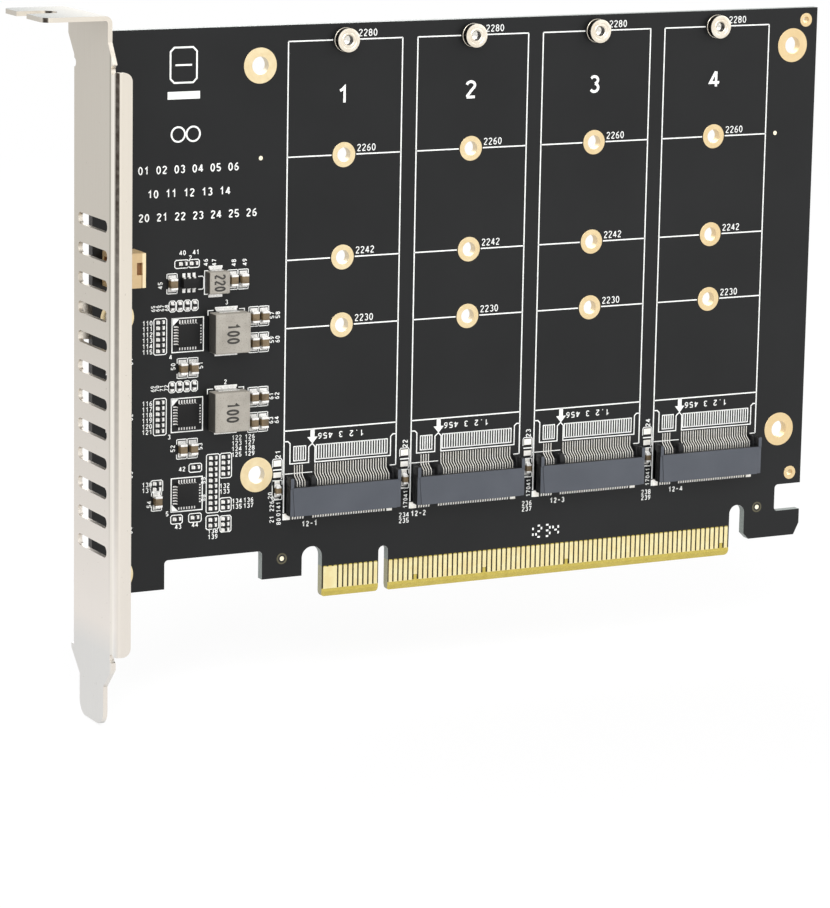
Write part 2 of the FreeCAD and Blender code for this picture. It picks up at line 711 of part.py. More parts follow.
def switch_chip(x, z):
    """A small six-lead chip with cranked leads."""
    body = new_body("switch_chip")
    half = "switch_long / 2"
    outline = sketch(body, "switch_plan", "XZ_Plane",
                     [rectangle("%s - %s" % (x, half), "%s + %s" % (x, half),
                                "%s - switch_wide / 2" % z, "%s + switch_wide / 2" % z)],
                     offset="switch_stand")
    feature(body, "Pad", "switch_block", outline, "switch_high")
    leads = new_body("switch_chip_leads")
    edge = "switch_wide / 2"
    for side, sign in (("top", "+"), ("low", "-")):
        def at(reach):
            return "%s %s (%s)" % (z, sign, reach)
        thick, high = "switch_lead_thick", "-switch_lead_high"
        outside, inside = at(edge + " + 2 * " + thick), at(edge + " + " + thick)
        toe = at(edge + " + switch_reach")
        profile = [(high, at(edge)), (high, outside), ("-" + thick, outside), ("-" + thick, toe),
                   ("0", toe), ("0", inside), ("%s + %s" % (high, thick), inside),
                   ("%s + %s" % (high, thick), at(edge))]
        shape = sketch(leads, "switch_lead_%s_profile" % side, "YZ_Plane", [profile],
                       offset="%s - switch_pitch - switch_lead_wide / 2" % x)
        one = feature(leads, "Pad", "switch_lead_" + side, shape, "switch_lead_wide")
        repeat(leads, "switch_leads_" + side, [one], "X", "switch_pitch", "3")


def capacitor(name, x, z, size):
    """Ceramic body and two metal ends of a chip capacitor of a named size, standing along Z."""
    def span(low, high):
        return ("%s + %s" % (z, low), "%s + %s" % (z, high))

    wide, long, high, end = (size + word for word in ("_wide / 2", "_long / 2", "_high", "_end"))
    body = box(name + "_middle", ("%s - %s" % (x, wide), "%s + %s" % (x, wide)),
               ("-" + high, "0"), span("%s - %s" % (end, long), "%s - %s" % (long, end)))
    side, top = wide + " + end_proud", "-%s - end_proud" % high
    ends = [box("%s_%s_end" % (name, place), ("%s - %s" % (x, side), "%s + %s" % (x, side)),
                (top, "0"), reach)
            for place, reach in (("low", span("-" + long, "%s - %s" % (end, long))),
                                 ("top", span("%s - %s" % (long, end), long)))]
    return body, ends


# middles on the board, (x, z)
FILTER_CAPS = [(-41.4, 57.95), (-30.0, 58.0), (-28.0, 58.0), (-25.9, 51.3), (-24.0, 51.3),
               (-25.9, 46.7), (-24.0, 46.7), (-39.4, 43.1), (-37.4, 43.1), (-25.9, 37.1),
               (-24.0, 37.1), (-25.9, 32.6), (-24.0, 32.6), (-39.4, 28.9), (-37.4, 28.9),
               (-44.1, 20.1)]
# banks of small parts: x, top z and low z of resistors that lie along X, and middles of small
# capacitors that stand
RESISTOR_BANKS = [(-43.5, 51.4, 46.4), (-43.5, 37.4, 32.4), (-33.4, 26.9, 17.9),
                  (-31.0, 26.9, 23.9), (-31.0, 18.9, 17.9), (-33.4, 15.9, 14.9),
                  (-31.0, 15.9, 13.9), (-44.0, 23.2, 22.2), (-36.7, 25.5, 25.5),
                  (-39.3, 61.3, 61.3), (-37.3, 61.3, 61.3), (-40.2, 16.6, 16.6),
                  (-36.8, 16.6, 16.6)]
CAPACITOR_BANKS = [(-41.3, 54.0), (-39.9, 54.0), (-38.5, 54.0), (-37.1, 54.0),
                   (-41.3, 39.9), (-39.9, 39.9), (-38.5, 39.9), (-37.1, 39.9)]


def rows_down(top, low):
    """Heights of a bank's rows, from its top one down to its low one."""
    pitch = value("bank_pitch")
    return [top - pitch * row for row in range(round((top - low) / pitch) + 1)]


def capacitors(name, places, size):
    """Two nodes of chip capacitors: their ceramic bodies and their metal ends."""
    bodies, ends = [], []
    for index, (x, z) in enumerate(places, start=1):
        body, caps = capacitor("%s_%d" % (name, index), str(x), str(z), size)
        bodies.append(body)
        ends += caps
    group(name + "_bodies", bodies)
    group(name + "_ends", ends)


def small_parts(name, places, across, up, high):
    """One node of small chip parts, each one block seated on the board."""
    def span(middle, size):
        return ("%s - (%s) / 2" % (middle, size), "%s + (%s) / 2" % (middle, size))

    group(name, [box("%s_%d" % (name, index), span(x, across), ("-(%s)" % high, "0"), span(z, up))
                 for index, (x, z) in enumerate(places, start=1)])


def header():
    """The two-pin lead header beside the bracket, open at its outer end."""
    body = new_body("lead_header")
    block = sketch(body, "header_plan", "XZ_Plane",
                   [rectangle("header_left", "header_right", "header_low", "header_top")])
    feature(body, "Pad", "header_block", block, "header_high")
    cavity = sketch(body, "header_cavity_outline", "YZ_Plane",
                    [rectangle("header_wall - header_high", "-header_wall",
                               "header_low + header_wall", "header_top - header_wall")],
                    offset="header_left")
    feature(body, "Pocket", "header_cavity", cavity,
            "header_right - header_left - 2 * header_wall", backwards=True)
    right = "header_right - window_right"
    foot = "header_low + window_foot"
    window = sketch(body, "header_window_outline", "XZ_Plane",
                    [rectangle(right + " - window_wide", right, foot, foot + " + window_high")],
                    offset="header_high")
    feature(body, "Pocket", "header_window", window, "window_deep")
    groove = sketch(body, "header_groove_outline", "XZ_Plane",
                    [rectangle(right + " - groove_wide", right, "header_low - window_foot", foot)],
                    offset="header_high")
    feature(body, "Pocket", "header_groove", groove, "groove_deep")
    pins = []
    for index, sign in enumerate("+-", start=1):
        middle = "(header_low + header_top) / 2 %s pin_gap / 2" % sign
        pins.append(box("header_pin_%d" % index,
                        ("header_left + pin_inset", "header_right - 2 * header_wall"),
                        ("-header_high / 2 - pin_side / 2", "-header_high / 2 + pin_side / 2"),
                        (middle + " - pin_side / 2", middle + " + pin_side / 2")))
    group("lead_header_pins", pins)


circuit_board()
for side in ("front", "back"):
    edge_contacts(side)
bracket()
group("bracket_screws", bracket_screws())
POSTS, NUTS = stand_offs()
group("stand_off_posts", POSTS)
group("stand_off_nuts", NUTS)
for number in range(1, BAYS + 1):
    socket_housing(number)
    socket_leads(number)
group("socket_hold_downs", hold_downs())
choke("upper_inductor", "choke_x", "choke_top_z", "choke_wide", "choke_long", "choke_high",
      "choke_clip")
choke("lower_inductor", "choke_x", "choke_low_z", "choke_wide", "choke_long", "choke_high",
      "choke_clip")
choke("small_inductor", "small_choke_x", "small_choke_z", "small_choke", "small_choke",
      "small_choke_high", "small_choke * 0.6")
CHIPS = {"upper_converter_chip": ("-38.4", "48.9"), "lower_converter_chip": ("-38.45", "34.9"),
         "clock_chip": ("-38.4", "20.85")}
for name, (x, z) in CHIPS.items():
    flat_chip(name, x, z)
switch_chip("-38.25", "57.95")
capacitors("filter_capacitor", FILTER_CAPS, "cap")
BESIDE_SOCKET = "socket_shift - %s - socket_cap_gap" % SOCKET_HALF
capacitors("socket_capacitor", [(bay(number, BESIDE_SOCKET), "socket_cap_z")
                                for number in range(BAYS)], "minor")
small_parts("resistors", [(x, z) for x, top, low in RESISTOR_BANKS for z in rows_down(top, low)],
            "res_long", "res_wide", "res_high")
small_parts("small_capacitors", CAPACITOR_BANKS, "res_wide", "res_long", "res_high")
small_parts("status_lamps", [("lamp_x", "lamp_top_z - %d * lamp_pitch" % number)
                             for number in range(BAYS)], "lamp_wide", "lamp_long", "lamp_high")
header()

doc.recompute()
FAILED = [item.Label for item in doc.Objects if {"Invalid", "Error"} & set(item.State)]
if FAILED:
    raise RuntimeError("failed: " + ", ".join(FAILED))
for name, item in NODES.items():
    if item.Shape.isNull() or not item.Shape.isValid():
        raise RuntimeError("bad shape: " + name)

os.makedirs("parts", exist_ok=True)
for name, item in NODES.items():
    item.Shape.exportStep("parts/%s.step" % name)
print(len(NODES), "nodes")
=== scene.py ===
"""Looks of the four-drive adapter card: finishes, printed legend, fitted parts, lights and camera.

Lengths are in millimetres until a piece is made, and its mesh is then brought to metres. Points on
the board's component face are given as (x, z); heights above that face run towards -Y. In the
classes a tuple of points is an outline, and points that repeat at each bay are counted from the
bay's own column.
"""
import json
import logging
import math
from dataclasses import dataclass, field
from enum import Enum

import bmesh
import bpy
from mathutils import Matrix, Vector


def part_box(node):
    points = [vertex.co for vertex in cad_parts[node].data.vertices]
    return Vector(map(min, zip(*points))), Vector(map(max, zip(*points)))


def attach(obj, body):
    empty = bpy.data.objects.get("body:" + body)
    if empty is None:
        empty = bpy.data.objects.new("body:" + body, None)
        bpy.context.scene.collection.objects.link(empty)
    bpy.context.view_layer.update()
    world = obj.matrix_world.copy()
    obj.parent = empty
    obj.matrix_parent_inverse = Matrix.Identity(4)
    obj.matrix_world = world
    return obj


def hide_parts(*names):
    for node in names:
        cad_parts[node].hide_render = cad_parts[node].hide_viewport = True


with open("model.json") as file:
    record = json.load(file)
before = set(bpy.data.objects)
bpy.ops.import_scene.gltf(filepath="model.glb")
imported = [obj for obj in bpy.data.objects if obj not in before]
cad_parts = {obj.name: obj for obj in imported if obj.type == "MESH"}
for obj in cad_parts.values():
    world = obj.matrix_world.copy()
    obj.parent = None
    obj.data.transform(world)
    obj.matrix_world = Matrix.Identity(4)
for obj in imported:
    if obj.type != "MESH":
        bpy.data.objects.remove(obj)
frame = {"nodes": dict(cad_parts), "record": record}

LOG = logging.getLogger("drive_card")
MM = 0.001
INK_THICK = 0.02
LAND_THICK = 0.04
PIN = 0.01
# Points closer than this are one point: in millimetres, and in a CAD mesh's metres.
MERGE = 1e-5
CAD_MERGE = 1e-6
SHARPEST_CORNER = 0.45
# Octaves of a plain and of a rich noise.
COARSE = 2.0
DETAILED = 4.0
# Facets round a large and a small turned form.
ROUND = 48
SMALL_ROUND = 24
# Angles in degrees under which an edge is shaded smooth.
CRISP = 30.0
TURNED = 35.0
EASED = 40.0
MOLTEN = 50.0

Point = tuple[float, float]
Span = tuple[float, ...]
Outline = tuple[Point, ...]
Label = tuple[str, float, float]
Draft = bmesh.types.BMesh
Corner = bmesh.types.BMVert
Socket = bpy.types.NodeSocket


class Turn(Enum):
    """Which way a printed number is turned on the board, in degrees."""

    UPRIGHT = 0
    READS_UP = 90
    READS_DOWN = -90
    UPSIDE_DOWN = 180


# ---------------------------------------------------------------- places read from the frame
@dataclass(frozen=True)
class Extent:
    """The lowest and highest corners of one solid, in millimetres."""

    low: Vector
    high: Vector

    @property
    def middle(self) -> Vector:
        """The centre of the box."""
        return (self.low + self.high) / 2

    @property
    def size(self) -> Vector:
        """The lengths of the box along X, Y and Z."""
        return self.high - self.low


def node_extent(node: str) -> Extent:
    """The whole box of a CAD node.

    Args:
        node: the node's name.

    Returns:
        Its box in millimetres.
    """
    low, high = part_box(node)
    return Extent(Vector(low) / MM, Vector(high) / MM)


def solids_of(node: str) -> list[Extent]:
    """The boxes of the separate solids in a CAD node, left to right and then top down.

    Args:
        node: the node's name.

    Returns:
        One box for each solid.
    """
    made = bmesh.new()
    made.from_mesh(frame["nodes"][node].data)
    bmesh.ops.remove_doubles(made, verts=made.verts, dist=CAD_MERGE)
    left = set(made.verts)
    found = []
    while left:
        corners, fresh = [], [left.pop()]
        while fresh:
            corner = fresh.pop()
            corners.append(corner.co / MM)
            for edge in corner.link_edges:
                other = edge.other_vert(corner)
                if other in left:
                    left.remove(other)
                    fresh.append(other)
        found.append(Extent(Vector(map(min, *corners)), Vector(map(max, *corners))))
    made.free()
    return sorted(found, key=lambda box: (round(box.low.x, 1), -box.high.z))


# ---------------------------------------------------------------- node graphs and finishes
def paint(code: str) -> tuple[float, float, float, float]:
    """A colour written as six hex digits, as linear red, green, blue and alpha.

    Args:
        code: the digits, such as "C8A060".

    Returns:
        Four linear values.
    """
    levels = [int(code[start:start + 2], 16) / 255 for start in (0, 2, 4)]
    linear = [v / 12.92 if v <= 0.04045 else ((v + 0.055) / 1.055) ** 2.4 for v in levels]
    return (*linear, 1.0)


class Graph:
    """A material's node graph, built up from small steps."""

    OUTWARD = -0.6

    def __init__(self, name: str) -> None:
        """Start a material with one shader.

        Args:
            name: the material's name.
        """
        self.material = bpy.data.materials.new(name)
        self.material.use_nodes = True
        self.tree = self.material.node_tree
        self.shader = self.tree.nodes["Principled BSDF"]
        self.coordinates = self.add("ShaderNodeTexCoord")
        self.place = self.coordinates.outputs["Object"]
        split = self.add("ShaderNodeSeparateXYZ")
        self.join(self.place, split.inputs[0])
        self.x, self.y, self.z = split.outputs
        facing = self.add("ShaderNodeSeparateXYZ")
        self.join(self.coordinates.outputs["Normal"], facing.inputs[0])
        self.facing_x, self.facing_y, self.facing_z = facing.outputs

    def add(self, kind: str, **settings: object) -> bpy.types.Node:
        """Add a node and set its properties.

        Args:
            kind: the node's type.
            settings: its properties by name.

        Returns:
            The node.
        """
        made = self.tree.nodes.new(kind)
        for key, setting in settings.items():
            setattr(made, key, setting)
        return made

    def join(self, source: object, socket: Socket) -> None:
        """Link a socket into another, or set it where the source is a value or a colour code.

        Args:
            source: a socket, a value or a colour code.
            socket: the input that takes it.
        """
        if isinstance(source, Socket):
            self.tree.links.new(source, socket)
        else:
            socket.default_value = paint(source) if isinstance(source, str) else source

    def sums(self, operation: str, first: object, second: object = 0.0,
             third: object = 0.0) -> Socket:
        """One Math node.

        Args:
            operation: the node's operation.
            first: first operand, a socket or a number.
            second: second operand.
            third: third operand.

        Returns:
            The result's socket.
        """
        made = self.add("ShaderNodeMath", operation=operation)
        for socket, source in zip(made.inputs, (first, second, third)):
            self.join(source, socket)
        return made.outputs[0]

    def stretch(self, across: float, along: float, up: float) -> Socket:
        """Object coordinates scaled by a factor on each axis.

        Args:
            across: factor along X.
            along: factor along Y.
            up: factor along Z.

        Returns:
            The scaled coordinates.
        """
        made = self.add("ShaderNodeMapping")
        self.join(self.place, made.inputs["Vector"])
        made.inputs["Scale"].default_value = (across, along, up)
        return made.outputs[0]

    def noise(self, scale: float, detail: float = 3.0, vector: object = None,
              roughness: float = 0.55) -> Socket:
        """Soft noise; scale counts features to the metre.

        Args:
            scale: the noise scale.
            detail: octaves.
            vector: coordinates, or none for plain Object coordinates.
            roughness: strength of the finer octaves.

        Returns:
            The noise value, from 0 to 1.
        """
        made = self.add("ShaderNodeTexNoise")
        self.join(self.place if vector is None else vector, made.inputs["Vector"])
        made.inputs["Scale"].default_value = scale
        made.inputs["Detail"].default_value = detail
        made.inputs["Roughness"].default_value = roughness
        return made.outputs["Fac"]

    def spread(self, source: Socket, low: float, high: float,
               new_low: float = 0.0, new_high: float = 1.0) -> Socket:
        """Map a value from one span to another, held at both ends.

        Args:
            source: the value.
            low: where the span starts.
            high: where it ends.
            new_low: what the start becomes.
            new_high: what the end becomes.

        Returns:
            The mapped value.
        """
        made = self.add("ShaderNodeMapRange")
        for socket, number in zip(made.inputs, (source, low, high, new_low, new_high)):
            self.join(number, socket)
        return made.outputs[0]

    def fade(self, source: Socket, low: float, high: float) -> Socket:
        """1 up to a value, falling to 0 at another."""
        return self.spread(source, low, high, 1.0, 0.0)

    def blend(self, share: object, first: object, second: object) -> Socket:
        """Mix two colours.

        Args:
            share: how much of the second colour.
            first: a colour code or a socket.
            second: a colour code or a socket.

        Returns:
            The mixed colour.
        """
        made = self.add("ShaderNodeMix", data_type="RGBA")
        self.join(share, made.inputs[0])
        self.join(first, made.inputs[6])
        self.join(second, made.inputs[7])
        return made.outputs[2]

    def above(self, source: Socket, limit: float) -> Socket:
        """1 where a coordinate is over a limit in millimetres, else 0."""
        return self.sums("GREATER_THAN", source, limit * MM)

    def below(self, source: Socket, limit: float) -> Socket:
        """1 where a coordinate is under a limit in millimetres, else 0."""
        return self.sums("LESS_THAN", source, limit * MM)

    def band(self, source: Socket, low: float, high: float, fade: float) -> Socket:
        """1 between two millimetre limits of a coordinate, fading out beyond each."""
        return self.both(self.spread(source, (low - fade) * MM, low * MM),
                         self.fade(source, high * MM, (high + fade) * MM))

    def outward(self) -> Socket:
        """1 where the surface faces away from the board's component side, else 0."""
        return self.sums("LESS_THAN", self.facing_y, self.OUTWARD)

    def upright(self, limit: float, soft: float) -> Socket:
        """1 on walls square to the board, fading to 0 on surfaces along it."""
        return self.fade(self.sums("ABSOLUTE", self.facing_y), limit - soft, limit + soft)

    def both(self, first: object, second: object) -> Socket:
        """The product of two shares, so 1 only where both are."""
        return self.sums("MULTIPLY", first, second)

    def emboss(self, height: Socket, depth: float) -> None:
        """Give the shader a bump.

        Args:
            height: the height map, from 0 to 1.
            depth: how deep it goes in millimetres.
        """
        made = self.add("ShaderNodeBump")
        made.inputs["Strength"].default_value = 1.0
        made.inputs["Distance"].default_value = depth * MM
        self.join(height, made.inputs["Height"])
        self.join(made.outputs[0], self.shader.inputs["Normal"])


def seen_share(tree: bpy.types.NodeTree) -> Socket:
    """1 for rays straight to the eye, in gloss or through clear stuff, else 0.

    Args:
        tree: the node tree of a material or of the world.

    Returns:
        The share's socket.
    """
    ray = tree.nodes.new("ShaderNodeLightPath")
    share = ray.outputs["Is Camera Ray"]
    for name in ("Is Glossy Ray", "Is Transmission Ray"):
        most = tree.nodes.new("ShaderNodeMath")
        most.operation = "MAXIMUM"
        tree.links.new(share, most.inputs[0])
        tree.links.new(ray.outputs[name], most.inputs[1])
        share = most.outputs[0]
    return share


@dataclass(frozen=True)
class Finish:
    """A surface of two close colours that drift into each other, with its own grain and gloss."""

    name: str
    slot: str
    pale: str
    deep: str
    metallic: float = 0.0
    rough: Point = (0.4, 0.6)
    drift: float = 60.0
    grain: float = 2500.0
    relief: float = 0.004
    specular: float = 0.5
    rim: float = 1.0
    drift_span: Point = (0.35, 0.65)
    grain_span: Point = (0.25, 0.75)

    def colour(self, graph: Graph) -> object:
        """The surface's colour as a socket."""
        return graph.blend(graph.spread(graph.noise(self.drift), *self.drift_span), self.pale,
                           self.deep)

    def texture(self, graph: Graph) -> Socket:
        """The fine height map that roughness and relief follow."""
        return graph.noise(self.grain, DETAILED)

    def material(self) -> bpy.types.Material:
        """Build the finish once and reuse it.

        Returns:
            The material of this finish.
        """
        known = bpy.data.materials.get(self.name)
        if known is not None:
            return known
        graph = Graph(self.name)
        fine = self.texture(graph)
        for source, socket in ((self.colour(graph), "Base Color"),
                               (graph.spread(fine, *self.grain_span, *self.rough), "Roughness"),
                               (self.metallic, "Metallic"), (self.specular, "Specular IOR Level"),
                               ((self.rim, self.rim, self.rim, 1.0), "Specular Tint")):
            graph.join(source, graph.shader.inputs[socket])
        graph.emboss(fine, self.relief)
        return graph.material


@dataclass(frozen=True)
class MaskedLaminate(Finish):
    """Black solder mask on both faces, grey cut edges with a painted shadow next to the bracket,
    and the bare tongue of the connector with painted shade between its fingers.
    """

    edge: str = "868D8A"
    edge_deep: str = "6A716D"
    edge_tint: float = 0.3
    plies: float = 700.0
    ply_stretch: float = 9.0
    # Painted shadow of the bracket on the cut edges left of shaded_left.
    shaded: str = "2B2622"
    bare: str = "BFAE58"
    bare_deep: str = "A8963E"
    bare_drift: float = 900.0
    # Painted shade between the gold fingers, darker than the bare laminate there.
    gap: str = "2C230A"
    bare_top: float = 1.5
    gap_top: float = 5.6
    gap_half: float = 0.2
    contact_pitch: float = 1.0
    tongue_left: float = -12.4
    tongue_right: float = 72.4
    shaded_left: float = -55.9
    flat_limit: float = 0.5

    def colour(self, graph: Graph) -> object:
        """Mask, edge or bare laminate, by where the surface lies and which way it faces.

        Args:
            graph: the material's graph.

        Returns:
            The colour.
        """
        inside = graph.both(graph.above(graph.x, self.tongue_left),
                            graph.below(graph.x, self.tongue_right))
        tongue = graph.both(inside, graph.below(graph.z, self.gap_top))
        bare = graph.blend(graph.noise(self.bare_drift, COARSE), self.bare, self.bare_deep)
        # Painted shade in the gaps between the fingers, above the bare band.
        from_gap = graph.sums("PINGPONG", graph.x, self.contact_pitch / 2 * MM)
        between = graph.both(graph.below(from_gap, self.gap_half),
                             graph.above(graph.z, self.bare_top))
        face = graph.blend(tongue, super().colour(graph), graph.blend(between, bare, self.gap))
        plies = graph.noise(self.plies, COARSE, graph.stretch(1.0, self.ply_stretch, 1.0))
        edge = graph.blend(plies, self.edge, self.edge_deep)
        edge = graph.blend(graph.both(tongue, self.edge_tint), edge, self.bare)
        # Painted shadow of the bracket on the cut edges next to it.
        edge = graph.blend(graph.below(graph.x, self.shaded_left), edge, self.shaded)
        flat = graph.sums("GREATER_THAN", graph.sums("ABSOLUTE", graph.facing_y),
                          self.flat_limit)
        return graph.blend(flat, edge, face)


@dataclass(frozen=True)
class RolledSheet(Finish):
    """Plated sheet steel: greyer upwards; the lip and the top flange painted in tones of the light
    they get, the lip warmer; along the bend a painted highlight and a painted dark reflection.

    Spans of height and of X are in metres, bands along Y in millimetres.
    """

    top: str = "D7D1C7"
    low: str = "F7F1EB"
    greying: Point = (0.004, 0.062)
    tip: str = "EAE9E7"
    tip_span: Point = (-0.003, 0.002)
    # Painted reflection beside the bend: a darker line, then a bright highlight.
    line: str = "A8A598"
    line_band: Span = (-13.2, -12.7, 0.25)
    line_share: float = 0.7
    glint: str = "FFFAF0"
    glint_band: Span = (-14.25, -13.35, 0.3)
    glint_rise: Span = (0.0, 0.6, 0.5, 1.0)
    # Painted light: the lip, which faces another way, is warmer in tone.
    lip: str = "EAE2D5"
    lip_low: str = "ECE5DC"
    lip_facing: Point = (-0.9, -0.6)
    stain_share: float = 0.12
    # Painted reflection of the dark board in the bend, patchy and fading downwards.
    streak: str = "2A2018"
    bend_start: Point = (-0.93, -0.82)
    bend_end: Point = (-0.5, -0.38)
    bend_limit: float = -0.3
    patch_scale: float = 900.0
    patch_span: Span = (0.3, 0.6, 0.88, 1.0)
    streak_rise: Span = (0.012, 0.075, 0.1, 0.95)
    # Painted light: the top flange's upward faces are greyer, darker at the far end.
    flange: str = "AFADA7"
    flange_end: str = "838583"
    flange_span: Point = (-0.0698, -0.0584)
    flange_from: float = 100.0
    up_facing: Point = (0.6, 0.8)
    speck: str = "9A8F80"
    speck_scale: float = 1600.0
    speck_span: Span = (0.72, 0.78, 0.0, 0.4)
    rolled_scale: float = 3200.0
    rolled_stretch: float = 0.03
    rolled_share: float = 0.6

    def colour(self, graph: Graph) -> object:
        """Grey face; lip and top flange in their own painted tones of light; along the bend a
        painted dark line, a painted highlight and a painted dark reflection.

        Args:
            graph: the material's graph.

        Returns:
            The colour.
        """
        height = graph.spread(graph.z, *self.greying)
        face = graph.blend(height, self.low, self.top)
        face = graph.blend(graph.fade(graph.z, *self.tip_span), face, self.tip)
        # Painted reflection on the face by the bend: a darker line.
        edge = graph.band(graph.y, *self.line_band)
        face = graph.blend(graph.both(edge, graph.both(height, self.line_share)), face,
                           self.line)
        # Painted highlight on the face by the bend, stronger upwards.
        edge = graph.band(graph.y, *self.glint_band)
        face = graph.blend(graph.both(edge, graph.spread(height, *self.glint_rise)), face,
                           self.glint)
        # Painted light: the lip gets its own warmer tone by which way it faces.
        lip = graph.blend(height, self.lip_low, self.lip)
        base = graph.blend(graph.fade(graph.facing_y, *self.lip_facing), face, lip)
        stain = graph.both(graph.noise(self.drift), self.stain_share)
        base = graph.blend(stain, base, self.deep)
        # Painted reflection of the dark board in the bend.
        turn = graph.both(graph.spread(graph.facing_x, *self.bend_start),
                          graph.fade(graph.facing_x, *self.bend_end))
        near = graph.sums("LESS_THAN", graph.facing_y, self.bend_limit)
        patchy = graph.spread(graph.noise(self.patch_scale), *self.patch_span)
        strength = graph.both(patchy, graph.spread(graph.z, *self.streak_rise))
        base = graph.blend(graph.both(turn, graph.both(near, strength)), base, self.streak)
        # Painted light on the top flange's upward faces.
        up = graph.spread(graph.facing_z, *self.up_facing)
        flange = graph.blend(graph.fade(graph.x, *self.flange_span), self.flange,
                             self.flange_end)
        base = graph.blend(graph.both(up, graph.above(graph.z, self.flange_from)), base, flange)
        specks = graph.spread(graph.noise(self.speck_scale, COARSE), *self.speck_span)
        return graph.blend(specks, base, self.speck)

    def texture(self, graph: Graph) -> Socket:
        """Lines along the sheet's length with fine grain between them.

        Args:
            graph: the material's graph.

        Returns:
            The height map.
        """
        lines = graph.noise(self.rolled_scale,
                            vector=graph.stretch(1.0, 1.0, self.rolled_stretch))
        return graph.sums("ADD", graph.both(lines, self.rolled_share),
                          graph.both(graph.noise(self.grain), 1 - self.rolled_share))


@dataclass(frozen=True)
class SocketNylon(Finish):
    """Black moulding: its high roof that faces outwards is painted a paler tone for the sheen it
    reflects, and its sides and lip a darker tone for the shade they are in.
    """

    # Painted shade on the sides and the lip; the paler drifting tones paint the roof's sheen.
    side: str = "0D0E11"
    lip_height: float = 2.5

    def colour(self, graph: Graph) -> object:
        """The painted sheen tone where it is high and faces outwards, else the darker painted
        shade.
        """
        roof = graph.both(graph.outward(), graph.below(graph.y, -self.lip_height))
        return graph.blend(roof, self.side, super().colour(graph))


@dataclass(frozen=True)
class HeaderNylon(Finish):
    """Natural moulding, with a paler painted light beside its window and browner painted shade
    inside it.
    """

    # Painted shade deepening inside the window.
    inside: str = "84582C"
    # Painted light on the outward faces beside the window.
    flank: str = "ECD8B0"
    flank_from: float = -49.1
    front: float = -4.97
    floor: float = -4.6

    def colour(self, graph: Graph) -> object:
        """Tan outside, paler where painted light falls beside the window, and brown painted shade
        by depth where a surface faces outwards below the front.

        Args:
            graph: the material's graph.

        Returns:
            The colour.
        """
        depth = graph.spread(graph.y, self.front * MM, self.floor * MM)
        outward = graph.outward()
        flank = graph.both(outward, graph.above(graph.x, self.flank_from))
        base = graph.blend(flank, super().colour(graph), self.flank)
        return graph.blend(graph.both(depth, outward), base, self.inside)


@dataclass(frozen=True)
class WalledFinish(Finish):
    """A surface whose walls, square to the board, are painted another tone than its faces, for the
    different light that falls on them.
    """

    # The walls' painted tone of the light on them; each finish sets its own.
    wall: str = "CFC7B4"
    wall_limit: float = 0.5
    wall_soft: float = 0.2

    def colour(self, graph: Graph) -> object:
        """The faces' colour where the surface lies along the board, else the walls' painted tone of
        the light on them.
        """
        return graph.blend(graph.upright(self.wall_limit, self.wall_soft),
                           super().colour(graph), self.wall)


@dataclass(frozen=True)
class LandGold(WalledFinish):
    """Gold of the hole lands, redder towards the end away from the bracket."""

    warm: str = "E8D0A2"
    warm_deep: str = "E0C391"
    warming: Point = (-0.05, 0.1)

    def colour(self, graph: Graph) -> object:
        """Pale gold at the bracket's end, blended into warm gold along the board."""
        warm = graph.blend(graph.noise(self.drift), self.warm, self.warm_deep)
        return graph.blend(graph.spread(graph.x, *self.warming), super().colour(graph), warm)


@dataclass(frozen=True)
class PostPlating(WalledFinish):
    """Bright faces and rims, with dark reflections along the wall that stands off the board."""

    dark: str = "241F1A"
    dark_band: Span = (-1.44, -0.12, 0.03)
    dark_soft: float = 0.1

    def colour(self, graph: Graph) -> object:
        """The dark tone on walls between the post's two rims.

        Args:
            graph: the material's graph.

        Returns:
            The colour.
        """
        shaded = graph.both(graph.upright(self.wall_limit, self.dark_soft),
                            graph.band(graph.y, *self.dark_band))
        return graph.blend(shaded, super().colour(graph), self.dark)


@dataclass(frozen=True)
class GrittyBody(Finish):
    """Fired ceramic or pressed powder: an even tone broken by fine dark grit."""

    grit: str = "4E3820"
    grit_scale: float = 5000.0
    grit_span: Span = (0.5, 0.8, 0.0, 0.5)

    def colour(self, graph: Graph) -> object:
        """The drifting tone with grit over it."""
        grit = graph.spread(graph.noise(self.grit_scale, COARSE), *self.grit_span)
        return graph.blend(grit, super().colour(graph), self.grit)


@dataclass(frozen=True)
class PressedPowder(GrittyBody):
    """Pressed iron powder: gritty grey, and near black on the side away from the light."""

    shaded: str = "35332F"
    shaded_facing: Point = (-0.9, -0.55)

    def colour(self, graph: Graph) -> object:
        """The gritty grey, and the shaded tone where it faces the bracket."""
        return graph.blend(graph.fade(graph.facing_x, *self.shaded_facing),
                           super().colour(graph), self.shaded)


